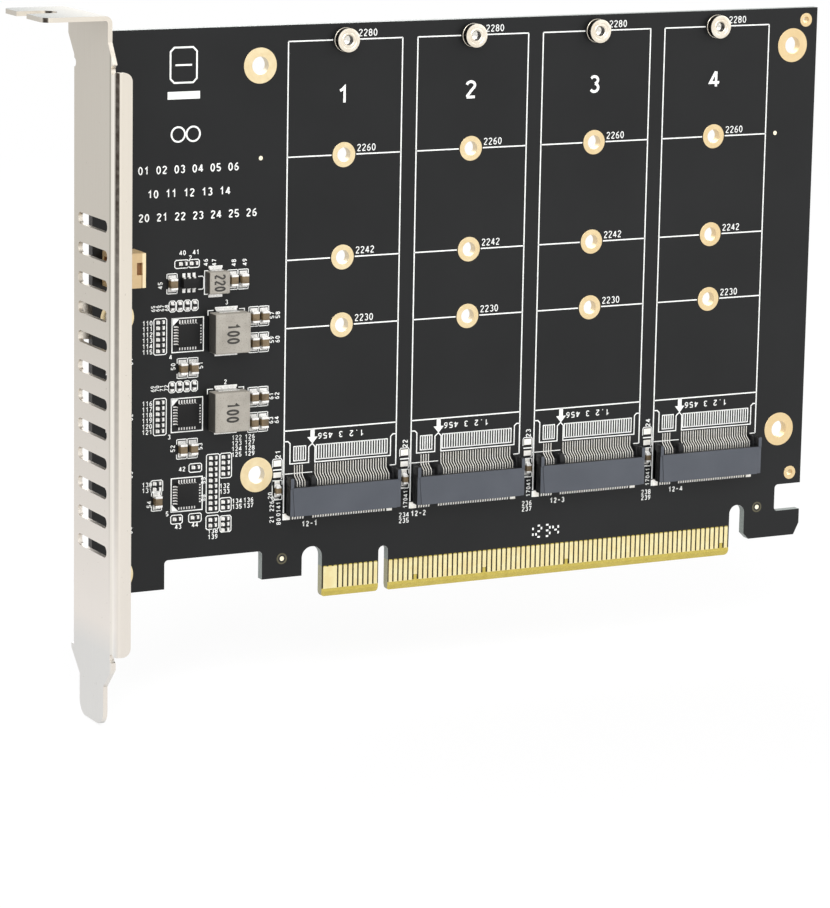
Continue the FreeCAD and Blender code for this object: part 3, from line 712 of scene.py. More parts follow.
class Surface(Enum):
    """Every finish on the card."""

    MASK = MaskedLaminate("board_mask", "board_laminate", "0E0F10", "131415", rough=(0.3, 0.45),
                          drift=40.0, grain=5000.0, relief=0.0006, specular=0.31)
    INK = Finish("legend_ink", "board_laminate", "F4F5F3", "E6E7E4", rough=(0.55, 0.7),
                 drift=800.0)
    GOLD = WalledFinish("contact_gold", "gold_plate", "F4EAB8", "EEDDA4", metallic=0.85,
                        rough=(0.36, 0.52), drift=500.0, grain=3000.0, relief=0.001)
    LAND = LandGold("land_gold", "gold_plate", "F3E3BC", "EAD6AA", metallic=0.85,
                    rough=(0.36, 0.52), drift=500.0, grain=3000.0, relief=0.001)
    DOT = Finish("bare_copper_dot", "gold_plate", "FFF8E2", "F7EBC8", metallic=0.5,
                 rough=(0.4, 0.5), drift=900.0)
    TRENCH = Finish("bare_laminate", "board_laminate", "0B0B0A", "121210", rough=(0.5, 0.7),
                    drift=800.0)
    HALO = Finish("thin_mask", "board_laminate", "57523C", "3F3C2C", rough=(0.5, 0.7),
                  drift=800.0)
    SHEET = RolledSheet("bracket_plating", "bracket_steel", "D8D6CE", "B9B4A8", metallic=1.0,
                        rough=(0.3, 0.48), drift=45.0, grain=5200.0, relief=0.0012, rim=0.55)
    SCREW = Finish("screw_plating", "screw_steel", "D8D4CC", "BDB8AF", metallic=1.0,
                   rough=(0.22, 0.4), drift=300.0)
    # The posts' walls are painted paler than their faces, a painted highlight.
    NICKEL = PostPlating("stand_off_plating", "stand_off_nickel", "EFE8DA", "E2D7C4",
                         metallic=0.8, rough=(0.3, 0.45), drift=500.0, grain=3500.0,
                         relief=0.002, wall="F4F2EC")
    # Pale tones: painted sheen of the socket roof; its sides take the painted shade.
    NYLON = SocketNylon("socket_moulding", "socket_nylon", "494D55", "43474F",
                        rough=(0.42, 0.55), drift=120.0, grain=6000.0, relief=0.0012)
    CONTACT = Finish("contact_plating", "contact_metal", "FBF9F4", "EDE9DF", metallic=0.35,
                     rough=(0.25, 0.4), drift=900.0)
    POWDER = PressedPowder("inductor_powder", "inductor_alloy", "A29D94", "928D84",
                           rough=(0.55, 0.75), drift=260.0, grain=7000.0, relief=0.008,
                           grit="5B5850", grit_scale=4200.0, grit_span=(0.55, 0.75, 0.0, 0.55))
    TIN = Finish("bright_tin", "tinned_metal", "F6F5F2", "E2E1DE", metallic=0.45,
                 rough=(0.22, 0.4), drift=1500.0, grain=4000.0, relief=0.0005)
    # The clip's walls are painted greyer than their faces, a painted shade.
    CLIP = WalledFinish("clip_plating", "tinned_metal", "F6F5F2", "E2E1DE", metallic=0.45,
                        rough=(0.22, 0.4), drift=1500.0, grain=4000.0, relief=0.0005,
                        wall="A9A8A4")
    EPOXY = Finish("moulded_epoxy", "chip_epoxy", "111111", "0D0D0D", rough=(0.5, 0.65),
                   drift=300.0, grain=6000.0, relief=0.002, specular=0.28)
    CERAMIC = GrittyBody("capacitor_body", "capacitor_ceramic", "77664C", "5B4C36",
                         rough=(0.3, 0.42), drift=600.0)
    GLAZE = Finish("resistor_glaze", "resistor_ceramic", "1B1B1D", "121213", rough=(0.25, 0.4),
                   drift=900.0)
    RESIN = Finish("clear_resin", "lamp_resin", "E9E6C9", "D9D4AF", rough=(0.2, 0.35),
                   drift=700.0)
    NATURAL = HeaderNylon("natural_nylon", "header_nylon", "D8BC90", "CDB083", rough=(0.4, 0.55),
                          drift=300.0, grain=4000.0, relief=0.003)
    MARK = Finish("laser_mark", "inductor_alloy", "3A3733", "2C2A27", rough=(0.6, 0.8),
                  drift=500.0)


# ---------------------------------------------------------------- mesh helpers
def block(made: Draft, one: tuple, other: tuple, bevel: float = 0.0,
          segments: int = 2) -> None:
    """Add a closed block between two opposite corners, its edges eased if asked.

    Args:
        made: the bmesh to add to.
        one: one corner.
        other: the corner opposite.
        bevel: width of the eased edge.
        segments: steps across the eased edge.
    """
    low, high = Vector(map(min, one, other)), Vector(map(max, one, other))
    place = Matrix.Translation((low + high) / 2) @ Matrix.Diagonal((*(high - low), 1.0))
    corners = bmesh.ops.create_cube(made, size=1.0, matrix=place)["verts"]
    if bevel > 0:
        edges = list(dict.fromkeys(edge for corner in corners for edge in corner.link_edges))
        bmesh.ops.bevel(made, geom=edges, offset=bevel, segments=segments, profile=0.5,
                        affect="EDGES", material=-1)


def turned(made: Draft, profile: list[Point], x: float, z: float,
           steps: int = 40) -> None:
    """Add a turned form about an axis square to the board.

    Args:
        made: the bmesh to add to.
        profile: closed loop of (radius, y) corners.
        x: place of the axis along X.
        z: place of the axis along Z.
        steps: facets round the axis.
    """
    corners = [made.verts.new((x + radius, y, z)) for radius, y in profile]
    edges = [made.edges.new(pair) for pair in zip(corners, corners[1:] + corners[:1])]
    bmesh.ops.spin(made, geom=corners + edges, cent=(x, 0.0, z), axis=(0.0, 1.0, 0.0),
                   dvec=(0.0, 0.0, 0.0), angle=2 * math.pi, steps=steps, use_merge=True,
                   use_duplicate=False)


def prism(made: Draft, outline: list[tuple], along: tuple) -> None:
    """Add a closed solid: a flat outline drawn along a vector.

    Args:
        made: the bmesh to add to.
        outline: its corners as (x, y, z).
        along: the vector.
    """
    face = made.faces.new([made.verts.new(corner) for corner in outline])
    grown = bmesh.ops.extrude_face_region(made, geom=[face])
    moved = [item for item in grown["geom"] if isinstance(item, Corner)]
    bmesh.ops.translate(made, verts=moved, vec=along)


def ribbon(made: Draft, path: list[Point], left: float, right: float) -> None:
    """Add a closed strip: an outline in the Y-Z plane drawn out along X.

    Args:
        made: the bmesh to add to.
        path: closed outline of (y, z) corners.
        left: lower X of the strip.
        right: upper X of the strip.
    """
    prism(made, [(left, y, z) for y, z in path], (right - left, 0.0, 0.0))


def soften(points: list[Point], radius: float, steps: int) -> list[Point]:
    """Round the inner corners of an open line.

    Args:
        points: the line's corners.
        radius: how far from each corner its curve starts.
        steps: segments in each curve.

    Returns:
        The rounded line.
    """
    soft = [points[0]]
    for before, corner, after in zip(points, points[1:], points[2:]):
        here = Vector(corner)
        start = here + (Vector(before) - here).normalized() * radius
        end = here + (Vector(after) - here).normalized() * radius
        for step in range(steps + 1):
            share = step / steps
            soft.append(tuple(start.lerp(here, share).lerp(here.lerp(end, share), share)))
    return soft + [points[-1]]


def band(spine: list[Point], thick: float) -> list[Point]:
    """The closed outline of a strip of even thickness about a line.

    Args:
        spine: the line.
        thick: how thick the strip is.

    Returns:
        The outline's corners in order.
    """
    one, other = [], []
    for index, corner in enumerate(spine):
        before = Vector(spine[max(index - 1, 0)])
        after = Vector(spine[min(index + 1, len(spine) - 1)])
        along = (after - before).normalized()
        across = Vector((-along.y, along.x)) * thick / 2
        one.append(tuple(Vector(corner) + across))
        other.append(tuple(Vector(corner) - across))
    return one + other[::-1]


def finished(name: str, made: Draft, surface: Surface, smooth: float = 0.0,
             stands_for: tuple[str, ...] = ()) -> None:
    """Turn a bmesh into a piece of the card, dressed and riding on its body.

    Args:
        name: the piece's name.
        made: its mesh in millimetres; it is freed here.
        surface: its finish.
        smooth: angle in degrees under which edges are shaded smooth, or 0 for flat faces.
        stands_for: CAD nodes that the piece replaces.
    """
    bmesh.ops.remove_doubles(made, verts=made.verts, dist=MERGE)
    bmesh.ops.recalc_face_normals(made, faces=made.faces)
    made.transform(Matrix.Scale(MM, 4))
    mesh = bpy.data.meshes.new(name)
    made.to_mesh(mesh)
    made.free()
    if smooth > 0:
        mesh.shade_smooth()
        mesh.set_sharp_from_angle(angle=math.radians(smooth))
    piece = bpy.data.objects.new(name, mesh)
    bpy.context.scene.collection.objects.link(piece)
    mesh.materials.append(surface.value.material())
    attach(piece, "root")
    if stands_for:
        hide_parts(*stands_for)
    LOG.info("piece %s: %d faces", name, len(mesh.polygons))


def dress_node(node: str, surface: Surface) -> None:
    """Give a CAD node that stays in view its finish.

    Args:
        node: the node's name.
        surface: its finish.
    """
    mesh = frame["nodes"][node].data
    mesh.materials.clear()
    mesh.materials.append(surface.value.material())
    LOG.info("node %s dressed as %s", node, surface.value.name)


def arc(centre: Point, radius: Point, start: float, end: float, steps: int) -> list[Point]:
    """Points along an ellipse.

    Args:
        centre: its centre.
        radius: its two radii.
        start: first angle in degrees from +X, anticlockwise.
        end: last angle.
        steps: how many segments.

    Returns:
        The points in order.
    """
    turns = [math.radians(start + (end - start) * step / steps) for step in range(steps + 1)]
    return [(centre[0] + radius[0] * math.cos(turn), centre[1] + radius[1] * math.sin(turn))
            for turn in turns]


class Numerals:
    """Plain digits drawn as pen strokes, one unit tall, stamped where they are wanted."""

    WIDE = 0.6
    GAP = 0.2
    WAIST = 0.53
    TOP_BOWL = 0.92
    LIT = {"1": "bc", "2": "abged", "3": "abgcd", "4": "fgbc"}
    BAR_GAP = 0.14
    BAR_SIDE = 0.26

    def __init__(self, pen: float) -> None:
        """Draw every sign once.

        Args:
            pen: width of the stroke as a share of the digit's height.
        """
        half = pen / 2
        low, high, right = half, 1 - half, self.WIDE - half
        middle, across, waist = self.WIDE / 2, self.WIDE / 2 - half, self.WAIST
        top_bowl = (across * self.TOP_BOWL, (high - waist) / 2)
        low_bowl = (across, (waist - low) / 2)
        upper, lower = (middle, waist + top_bowl[1]), (middle, low + low_bowl[1])
        stem = arc((right, lower[1]), (right - half, high - lower[1]), 96, 180, 5)
        six = [stem + arc(lower, low_bowl, 170, -190, 14)[1:]]
        self.pen = pen
        self.strokes = {
            "0": [arc((middle, 0.5), (across, 0.5 - half), 90, 450, 16)],
            "1": [[(0.12, 0.72), (0.25, 0.8), (0.36, high), (0.36, low)]],
            "2": [arc(upper, (across, high - upper[1]), 170, -30, 9)
                  + [(middle, waist - 0.13), (half, low + 0.02)], [(half, low), (right, low)]],
            "3": [arc(upper, top_bowl, 150, -80, 8), arc(lower, low_bowl, 80, -150, 9)],
            "4": [[(0.40, high), (half, 0.3), (self.WIDE, 0.3)], [(0.42, low), (0.42, high)]],
            "5": [[(right, high), (0.13, high), (0.09, 0.55)]
                  + arc(lower, low_bowl, 110, -150, 9)],
            "6": six,
            "7": [[(half, high), (right, high), (0.22, low)]],
            "8": [arc(upper, top_bowl, -90, 270, 12), arc(lower, low_bowl, 90, 450, 14)],
            "9": [[(self.WIDE - x, 1 - y) for x, y in six[0]]],
            "-": [[(0.12, 0.5), (0.48, 0.5)]],
            ".": [[(0.24, low), (0.36, low)]],
        }

    def stamp(self, made: Draft, text: str, at: Point, tall: float,
              turn: Turn = Turn.UPRIGHT, level: float = 0.0, thick: float = INK_THICK,
              stretch: float = 1.0) -> None:
        """Print a number centred at a point of the board's face.

        Args:
            made: the bmesh to add to.
            text: the number.
            at: its centre as (x, z).
            tall: height of a digit.
            turn: which way it reads.
            level: Y of the face that it is printed on.
            thick: thickness of the print.
            stretch: how much wider than usual it is.
        """
        run = (self.WIDE * len(text) + self.GAP * (len(text) - 1)) * stretch
        cos, sin = math.cos(math.radians(turn.value)), math.sin(math.radians(turn.value))
        for place, sign in enumerate(text):
            start = place * (self.WIDE + self.GAP) * stretch - run / 2
            for layer, stroke in enumerate(self.strokes.get(sign, [])):
                flat = [((start + x * stretch) * tall, (y - 0.5) * tall) for x, y in stroke]
                line = [(at[0] + x * cos - y * sin, at[1] + x * sin + y * cos) for x, y in flat]
                pen_line(made, line, self.pen * tall, level, thick * (1 + layer / 2))

    def segmented(self, made: Draft, text: str, at: Point, tall: float,
                  pitch: float) -> None:
        """Print a number whose digits are made of short separate bars.

        Args:
            made: the bmesh to add to.
            text: the number.
            at: its centre as (x, z).
            tall: height of a digit.
            pitch: distance between digits.
        """
        half, gap, side = tall / 2, self.BAR_GAP * tall, self.BAR_SIDE * tall
        bars = {"g": [(gap - side, 0.0), (side - gap, 0.0)]}
        for high, level, upright, reach in (("a", half, ("f", "b"), 1),
                                            ("d", -half, ("e", "c"), -1)):
            bars[high] = [(gap - side, level), (side - gap, level)]
            for name, x in zip(upright, (-side, side)):
                bars[name] = [(x, gap * reach), (x, level - gap * reach)]
        for place, sign in enumerate(text):
            x = at[0] + (place - (len(text) - 1) / 2) * pitch
            for name in self.LIT[sign]:
                pen_line(made, [(x + a, at[1] + b) for a, b in bars[name]], self.pen * tall,
                         0.0, INK_THICK)


def pen_line(made: Draft, points: list[Point], wide: float, level: float,
             thick: float) -> None:
    """Add one thin closed strip that follows a line on the board's face.

    Args:
        made: the bmesh to add to.
        points: the line's corners as (x, z); it is a loop when the last is the first.
        wide: width of the strip, kept at corners up to a sharpness.
        level: Y of the face that it lies on.
        thick: how far it stands off that face.
    """
    loop = math.dist(points[0], points[-1]) < MERGE
    spine = [Vector(point) for point in (points[:-1] if loop else points)]
    count = len(spine)
    sides = []
    for index, corner in enumerate(spine):
        before = spine[index - 1] if loop or index else corner
        after = spine[(index + 1) % count] if loop or index < count - 1 else corner
        come, go = (corner - before), (after - corner)
        come = (come if come.length > 0 else go).normalized()
        go = (go if go.length > 0 else come).normalized()
        across = Vector((-(come + go).y, (come + go).x)).normalized()
        reach = wide / 2 / max(SHARPEST_CORNER, across.dot(Vector((-come.y, come.x))))
        sides.append([corner + across * reach, corner - across * reach])
    rows = [[made.verts.new((edge.x, y, edge.y)) for y in (level, level - thick) for edge in pair]
            for pair in sides]
    pairs = list(zip(rows, rows[1:] + rows[:1])) if loop else list(zip(rows, rows[1:]))
    for (a, b, c, d), (e, f, g, h) in pairs:
        for corners in ((c, d, h, g), (b, a, e, f), (a, c, g, e), (d, b, f, h)):
            made.faces.new(corners)
    if not loop:
        for a, b, c, d in (rows[0], rows[-1]):
            made.faces.new((a, b, d, c))


class Print:
    """White legend printed on the board's component face: lines, frames, patches, rings."""

    def __init__(self) -> None:
        """Start an empty print."""
        self.made = bmesh.new()

    def bar(self, start: Point, end: Point, wide: float) -> None:
        """Print a straight line between two points."""
        self.path([start, end], wide)

    def path(self, points: list[Point], wide: float, x: float = 0.0) -> None:
        """Print a line through several points, moved along X if asked."""
        pen_line(self.made, [(x + a, z) for a, z in points], wide, 0.0, INK_THICK)

    def frame(self, left: float, right: float, low: float, high: float, wide: float,
              corner: float = 0.0) -> None:
        """Print a rectangle's outline, its corners cut if asked.

        Args:
            left: lower X.
            right: upper X.
            low: lower Z.
            high: upper Z.
            wide: width of the line.
            corner: how much each corner is cut.
        """
        if corner > 0:
            points = [(left + corner, low), (right - corner, low), (right, low + corner),
                      (right, high - corner), (right - corner, high), (left + corner, high),
                      (left, high - corner), (left, low + corner)]
        else:
            points = [(left, low), (right, low), (right, high), (left, high)]
        self.path(points + points[:1], wide)

    def patch(self, corners: list[Point], x: float = 0.0) -> None:
        """Print a filled shape from its corners, moved along X if asked."""
        prism(self.made, [(x + a, 0.0, z) for a, z in corners], (0.0, -INK_THICK, 0.0))

    def ring(self, x: float, z: float, radius: float, wide: float) -> None:
        """Print a circle.

        Args:
            x: its centre along X.
            z: its centre along Z.
            radius: its middle radius.
            wide: width of the line.
        """
        inner, outer = radius - wide / 2, radius + wide / 2
        turned(self.made, [(inner, 0.0), (outer, 0.0), (outer, -INK_THICK), (inner, -INK_THICK)],
               x, z)


# ---------------------------------------------------------------- board
@dataclass
class CircuitBoard:
    """The printed board's finish: legend, gold lands, tinned lands and small marks."""

    frame_left: float = -10.88
    frame_right: float = 11.12
    frame_low: float = 22.85
    frame_foot: float = 15.9
    frame_line: float = 30.55
    frame_pen: float = 0.22
    label_shift: Point = (4.35, 1.1)
    label_tall: float = 1.25
    label_stretch: float = 0.95
    bay_number: Point = (-0.25, 89.2)
    bay_number_tall: float = 3.2
    bay_number_stretch: float = 1.12
    bay_hole: float = 1.3
    bay_land: float = 2.2
    mounting_hole: float = 1.6
    screw_hole: float = 1.5
    big_land: float = 3.1
    tooling_hole: float = 0.65
    tooling_land: float = 1.25
    tooling_x: float = 85.05
    tooling_z: Point = (14.7, 99.35)
    sights: tuple[Span, ...] = ((-20.0, 7.7, 0.42, 0.72), (78.1, 8.65, 0.42, 0.72),
                                (-24.85, 78.85, 0.38, 0.0), (79.2, 78.8, 0.38, 0.0))
    halo_wide: float = 0.28
    card_edge: Outline = (
        (-10.88, 28.65), (-10.15, 28.65), (-9.72, 28.25), (-9.72, 24.6), (-6.07, 24.6),
        (-6.07, 27.4), (-5.42, 27.95), (-4.85, 27.4), (-4.85, 24.6), (10.03, 24.6),
        (10.03, 28.05), (10.45, 28.45), (11.12, 28.45))
    hatches: Outline = ((-8.98, -6.67), (-4.6, 9.38))
    hatch_low: float = 25.1
    hatch_high: float = 27.65
    hatch_pitch: float = 0.5
    arrow: Outline = ((-5.77, 30.5), (-5.77, 29.15), (-6.38, 29.15), (-5.37, 27.95),
                                (-4.36, 29.15), (-4.97, 29.15), (-4.97, 30.5))
    first_pin: Outline = ((-11.05, 15.75), (-11.05, 14.6), (-9.85, 14.6),
                                    (-9.95, 15.05), (-10.55, 15.65))
    block_numbers: Label = ("1.2 3 456", 0.2, 29.2)
    block_number_tall: float = 1.1
    block_number_stretch: float = 1.17
    socket_outline: Outline = ((-11.1, -5.35), (9.95, 11.12))
    edge_pen: float = 0.2
    hatch_pen: float = 0.18
    hatch_bar: float = 0.19
    outline_pen: float = 0.16
    part_pen: float = 0.13
    mark_pen: float = 0.3
    slot_shift: Span = (-5.75, -9.15, -5.75, -5.75)
    slot_number_z: float = 13.6
    side_shift: float = -12.14
    part_lands: tuple[Span, ...] = ((0.75, 24.35, 25.45, 0.03), (0.75, 22.35, 23.3, 0.03),
                                    (0.5, 21.15, 21.75, 0.02))
    part_bar: Outline = ((-0.85, 23.75), (0.85, 23.75))
    part_outlines: tuple[Outline, ...] = (
        ((-0.95, 24.2), (-0.95, 25.4), (-0.75, 25.7), (0.75, 25.7), (0.95, 25.4), (0.95, 22.3),
         (0.75, 22.05)),
        ((-0.95, 21.9), (-0.95, 19.2), (-0.5, 18.55), (0.3, 18.55)))
    part_number: Point = (0.1, 26.5)
    first_part: int = 21
    first_pair: int = 232
    pair_rows: Point = (13.55, 12.5)
    pair_tall: float = 0.9
    upright_tall: float = 0.85
    upright_numbers: tuple[Label, ...] = (("170411", 0.35, 16.7),)
    first_uprights: tuple[Label, ...] = (
        ("20", -1.35, 19.25), ("21 226", -1.0, 16.3), ("0141", 0.3, 16.7), ("80", 0.35, 14.45))
    mark_frame: Span = (-41.9, -37.0, 92.4, 98.4)
    mark_corner: float = 0.7
    mark_bar: Outline = ((-41.0, 95.4), (-37.9, 95.4))
    mark_patch: Outline = ((-42.4, 89.6), (-36.4, 89.6), (-36.4, 90.9), (-42.4, 90.9))
    mark_rings: Outline = ((-40.4, 83.6), (-37.6, 83.6))
    ring_radius: float = 1.25
    number_rows: tuple[Label, ...] = (
        ("01 02 03 04 05 06", -38.4, 77.65), ("10 11 12 13 14", -38.3, 73.55),
        ("20 21 22 23 24 25 26", -36.6, 69.55))
    number_row_tall: float = 1.4
    edge_code: Point = (32.5, 8.1)
    edge_code_tall: float = 2.1
    edge_code_pitch: float = 1.75
    rows: Span = (98.75, 78.75, 60.75, 48.75)
    row_names: tuple[str, ...] = ("2280", "2260", "2242", "2230")
    row_gap: float = 0.2
    column: list[float] = field(init=False)
    thick: float = field(init=False)
    mounts: dict[str, dict] = field(init=False)

    def __post_init__(self) -> None:
        """Read the bays' columns, the board's thickness and the mounts from the frame."""
        self.column = [post.middle.x for post in solids_of("stand_off_posts")]
        self.thick = node_extent("circuit_board").size.y
        self.mounts = {entry["name"]: entry for entry in frame["record"]["mounts"]}

    def rectangle_of(self, mount: str) -> list[Point]:
        """The four hole centres of a rectangular bolt pattern, as (x, z).

        Args:
            mount: the mount's name in the record.

        Returns:
            The centres.
        """
        entry = self.mounts[mount]
        x, _, z = (value / MM for value in entry["pos_m"])
        half_x = entry["dims"]["spacing_x_mm"] / 2
        half_z = entry["dims"]["spacing_y_mm"] / 2
        return [(x + a * half_x, z + b * half_z) for a in (-1, 1) for b in (-1, 1)]

    def plated_hole(self, made: Draft, x: float, z: float, hole: float,
                    land: float) -> None:
        """A gold land on each face joined by a thin barrel.

        Args:
            made: the bmesh to add to.
            x: place of the hole.
            z: place of the hole.
            hole: radius of the hole in the board.
            land: outer radius of the land.
        """
        skin, soft = LAND_THICK, LAND_THICK / 2
        bore = hole - skin
        profile = [(bore, -skin), (land - soft, -skin), (land, -soft), (land, 0.0), (hole, 0.0),
                   (hole, self.thick), (land, self.thick), (land, self.thick + soft),
                   (land - soft, self.thick + skin), (bore, self.thick + skin)]
        turned(made, profile, x, z, ROUND)

    def gold_lands(self) -> None:
        """Gold round the drive holes, the mounting holes and the small corner holes."""
        made = bmesh.new()
        for x in self.column:
            for z in self.rows[1:]:
                self.plated_hole(made, x, z, self.bay_hole, self.bay_land)
        for x, z in self.rectangle_of("board_mounting_holes"):
            self.plated_hole(made, x, z, self.mounting_hole, self.big_land)
        for screw in solids_of("bracket_screws"):
            self.plated_hole(made, screw.middle.x, screw.middle.z, self.screw_hole, self.big_land)
        for z in self.tooling_z:
            self.plated_hole(made, self.tooling_x, z, self.tooling_hole, self.tooling_land)
        finished("hole_lands", made, Surface.LAND, TURNED)

    def sight_marks(self) -> None:
        """Small bare dots that assembly machines look for, and an opening of the mask round those
        given one.
        """
        dots, trenches, halos = bmesh.new(), bmesh.new(), bmesh.new()
        skin = LAND_THICK
        for x, z, radius, opening in self.sights:
            turned(dots, [(PIN, 0.0), (radius, 0.0), (radius, -skin / 2),
                          (radius - skin / 2, -skin), (PIN, -skin)], x, z, SMALL_ROUND)
            if opening:
                for made, inner, outer in ((trenches, radius, opening),
                                           (halos, opening, opening + self.halo_wide)):
                    turned(made, [(inner, 0.0), (outer, 0.0), (outer, -skin / 4),
                                  (inner, -skin / 4)], x, z, SMALL_ROUND)
        finished("sight_marks", dots, Surface.DOT, TURNED)
        finished("sight_mark_openings", trenches, Surface.TRENCH)
        finished("sight_mark_halos", halos, Surface.HALO)

    def bay_legend(self, work: Print, thin: Numerals, plain: Numerals) -> None:
        """Frames, row lines, row lengths and bay numbers.

        Args:
            work: the print to add to.
            thin: digits of the row lengths.
            plain: digits of the bay numbers.
        """
        for number, x in enumerate(self.column, start=1):
            left, right = x + self.frame_left, x + self.frame_right
            work.bar((left, self.rows[0]), (left, self.frame_foot), self.frame_pen)
            work.bar((right, self.rows[0]), (right, self.frame_low), self.frame_pen)
            work.bar((left, self.frame_line), (right, self.frame_line), self.frame_pen)
            for z, name in zip(self.rows, self.row_names):
                work.bar((left, z), (x - self.bay_land - self.row_gap, z), self.frame_pen)
                work.bar((x + self.bay_land + self.row_gap, z), (right, z), self.frame_pen)
                thin.stamp(work.made, name, (x + self.label_shift[0], z + self.label_shift[1]),
                           self.label_tall, stretch=self.label_stretch)
            plain.stamp(work.made, str(number), (x + self.bay_number[0], self.bay_number[1]),
                        self.bay_number_tall, stretch=self.bay_number_stretch)

    def socket_legend(self, work: Print, plain: Numerals, bold: Numerals) -> None:
        """What is printed in front of each socket: card edge, contact blocks, arrow and marks.

        Args:
            work: the print to add to.
            plain: thin digits.
            bold: heavy digits.
        """
        for number, x in enumerate(self.column, start=1):
            work.path(self.card_edge, self.edge_pen, x)
            for first, last in self.hatches:
                work.frame(x + first, x + last, self.hatch_low, self.hatch_high, self.hatch_pen)
                bars = round((last - first) / self.hatch_pitch)
                for step in range(1, bars):
                    place = x + first + (last - first) * step / bars
                    work.bar((place, self.hatch_low), (place, self.hatch_high), self.hatch_bar)
            work.patch(self.arrow, x)
            text, shift, z = self.block_numbers
            plain.stamp(work.made, text, (x + shift, z), self.block_number_tall,
                        Turn.UPSIDE_DOWN, stretch=self.block_number_stretch)
            for first, last in self.socket_outline:
                work.bar((x + first, self.frame_low), (x + last, self.frame_low),
                         self.outline_pen)
            work.patch(self.first_pin, x)
            bold.stamp(work.made, "12-%d" % number,
                       (x + self.slot_shift[number - 1], self.slot_number_z), 1.0)

    def side_columns(self, work: Print, plain: Numerals) -> None:
        """The empty part's lands and the numbers that stand between the sockets.

        Args:
            work: the print to add to.
            plain: thin digits.
        """
        lands = bmesh.new()
        for number, column in enumerate(self.column):
            x = column + self.side_shift
            for half, low, high, ease in self.part_lands:
                block(lands, (x - half, -LAND_THICK, low), (x + half, 0.0, high), ease)
            work.path(self.part_bar, self.frame_pen, x)
            for line in self.part_outlines:
                work.path(line, self.part_pen, x)
            shift, z = self.part_number
            plain.stamp(work.made, "%d" % (self.first_part + number), (x + shift, z), 1.0,
                        Turn.READS_UP)
            if number:
                for step, z in enumerate(self.pair_rows):
                    plain.stamp(work.made, "%d" % (self.first_pair + 2 * number + step),
                                (x + shift, z), self.pair_tall)
            for text, shift, z in self.upright_numbers if number else self.first_uprights:
                plain.stamp(work.made, text, (x + shift, z), self.upright_tall, Turn.READS_UP)
        finished("empty_part_lands", lands, Surface.CONTACT)

    def corner_legend(self, work: Print, plain: Numerals) -> None:
        """Generic marks and number rows beside the bracket, and the plain code by the edge.

        Args:
            work: the print to add to.
            plain: thin digits.
        """
        work.frame(*self.mark_frame, self.mark_pen, self.mark_corner)
        work.path(self.mark_bar, self.mark_pen)
        work.patch(self.mark_patch)
        for x, z in self.mark_rings:
            work.ring(x, z, self.ring_radius, self.mark_pen)
        for text, x, z in self.number_rows:
            plain.stamp(work.made, text, (x, z), self.number_row_tall)
        plain.segmented(work.made, "1234", self.edge_code, self.edge_code_tall,
                        self.edge_code_pitch)

    def build(self, thin: Numerals, plain: Numerals, bold: Numerals, work: Print) -> None:
        """Make every piece of the board's dressing.

        Args:
            thin: digits of the row lengths.
            plain: digits of most numbers.
            bold: heavy digits.
            work: the white legend.
        """
        dress_node("circuit_board", Surface.MASK)
        for side in ("front", "back"):
            dress_node("edge_contacts_" + side, Surface.GOLD)
        self.gold_lands()
        self.sight_marks()
        self.bay_legend(work, thin, plain)
        self.socket_legend(work, plain, bold)
        self.side_columns(work, plain)
        self.corner_legend(work, plain)


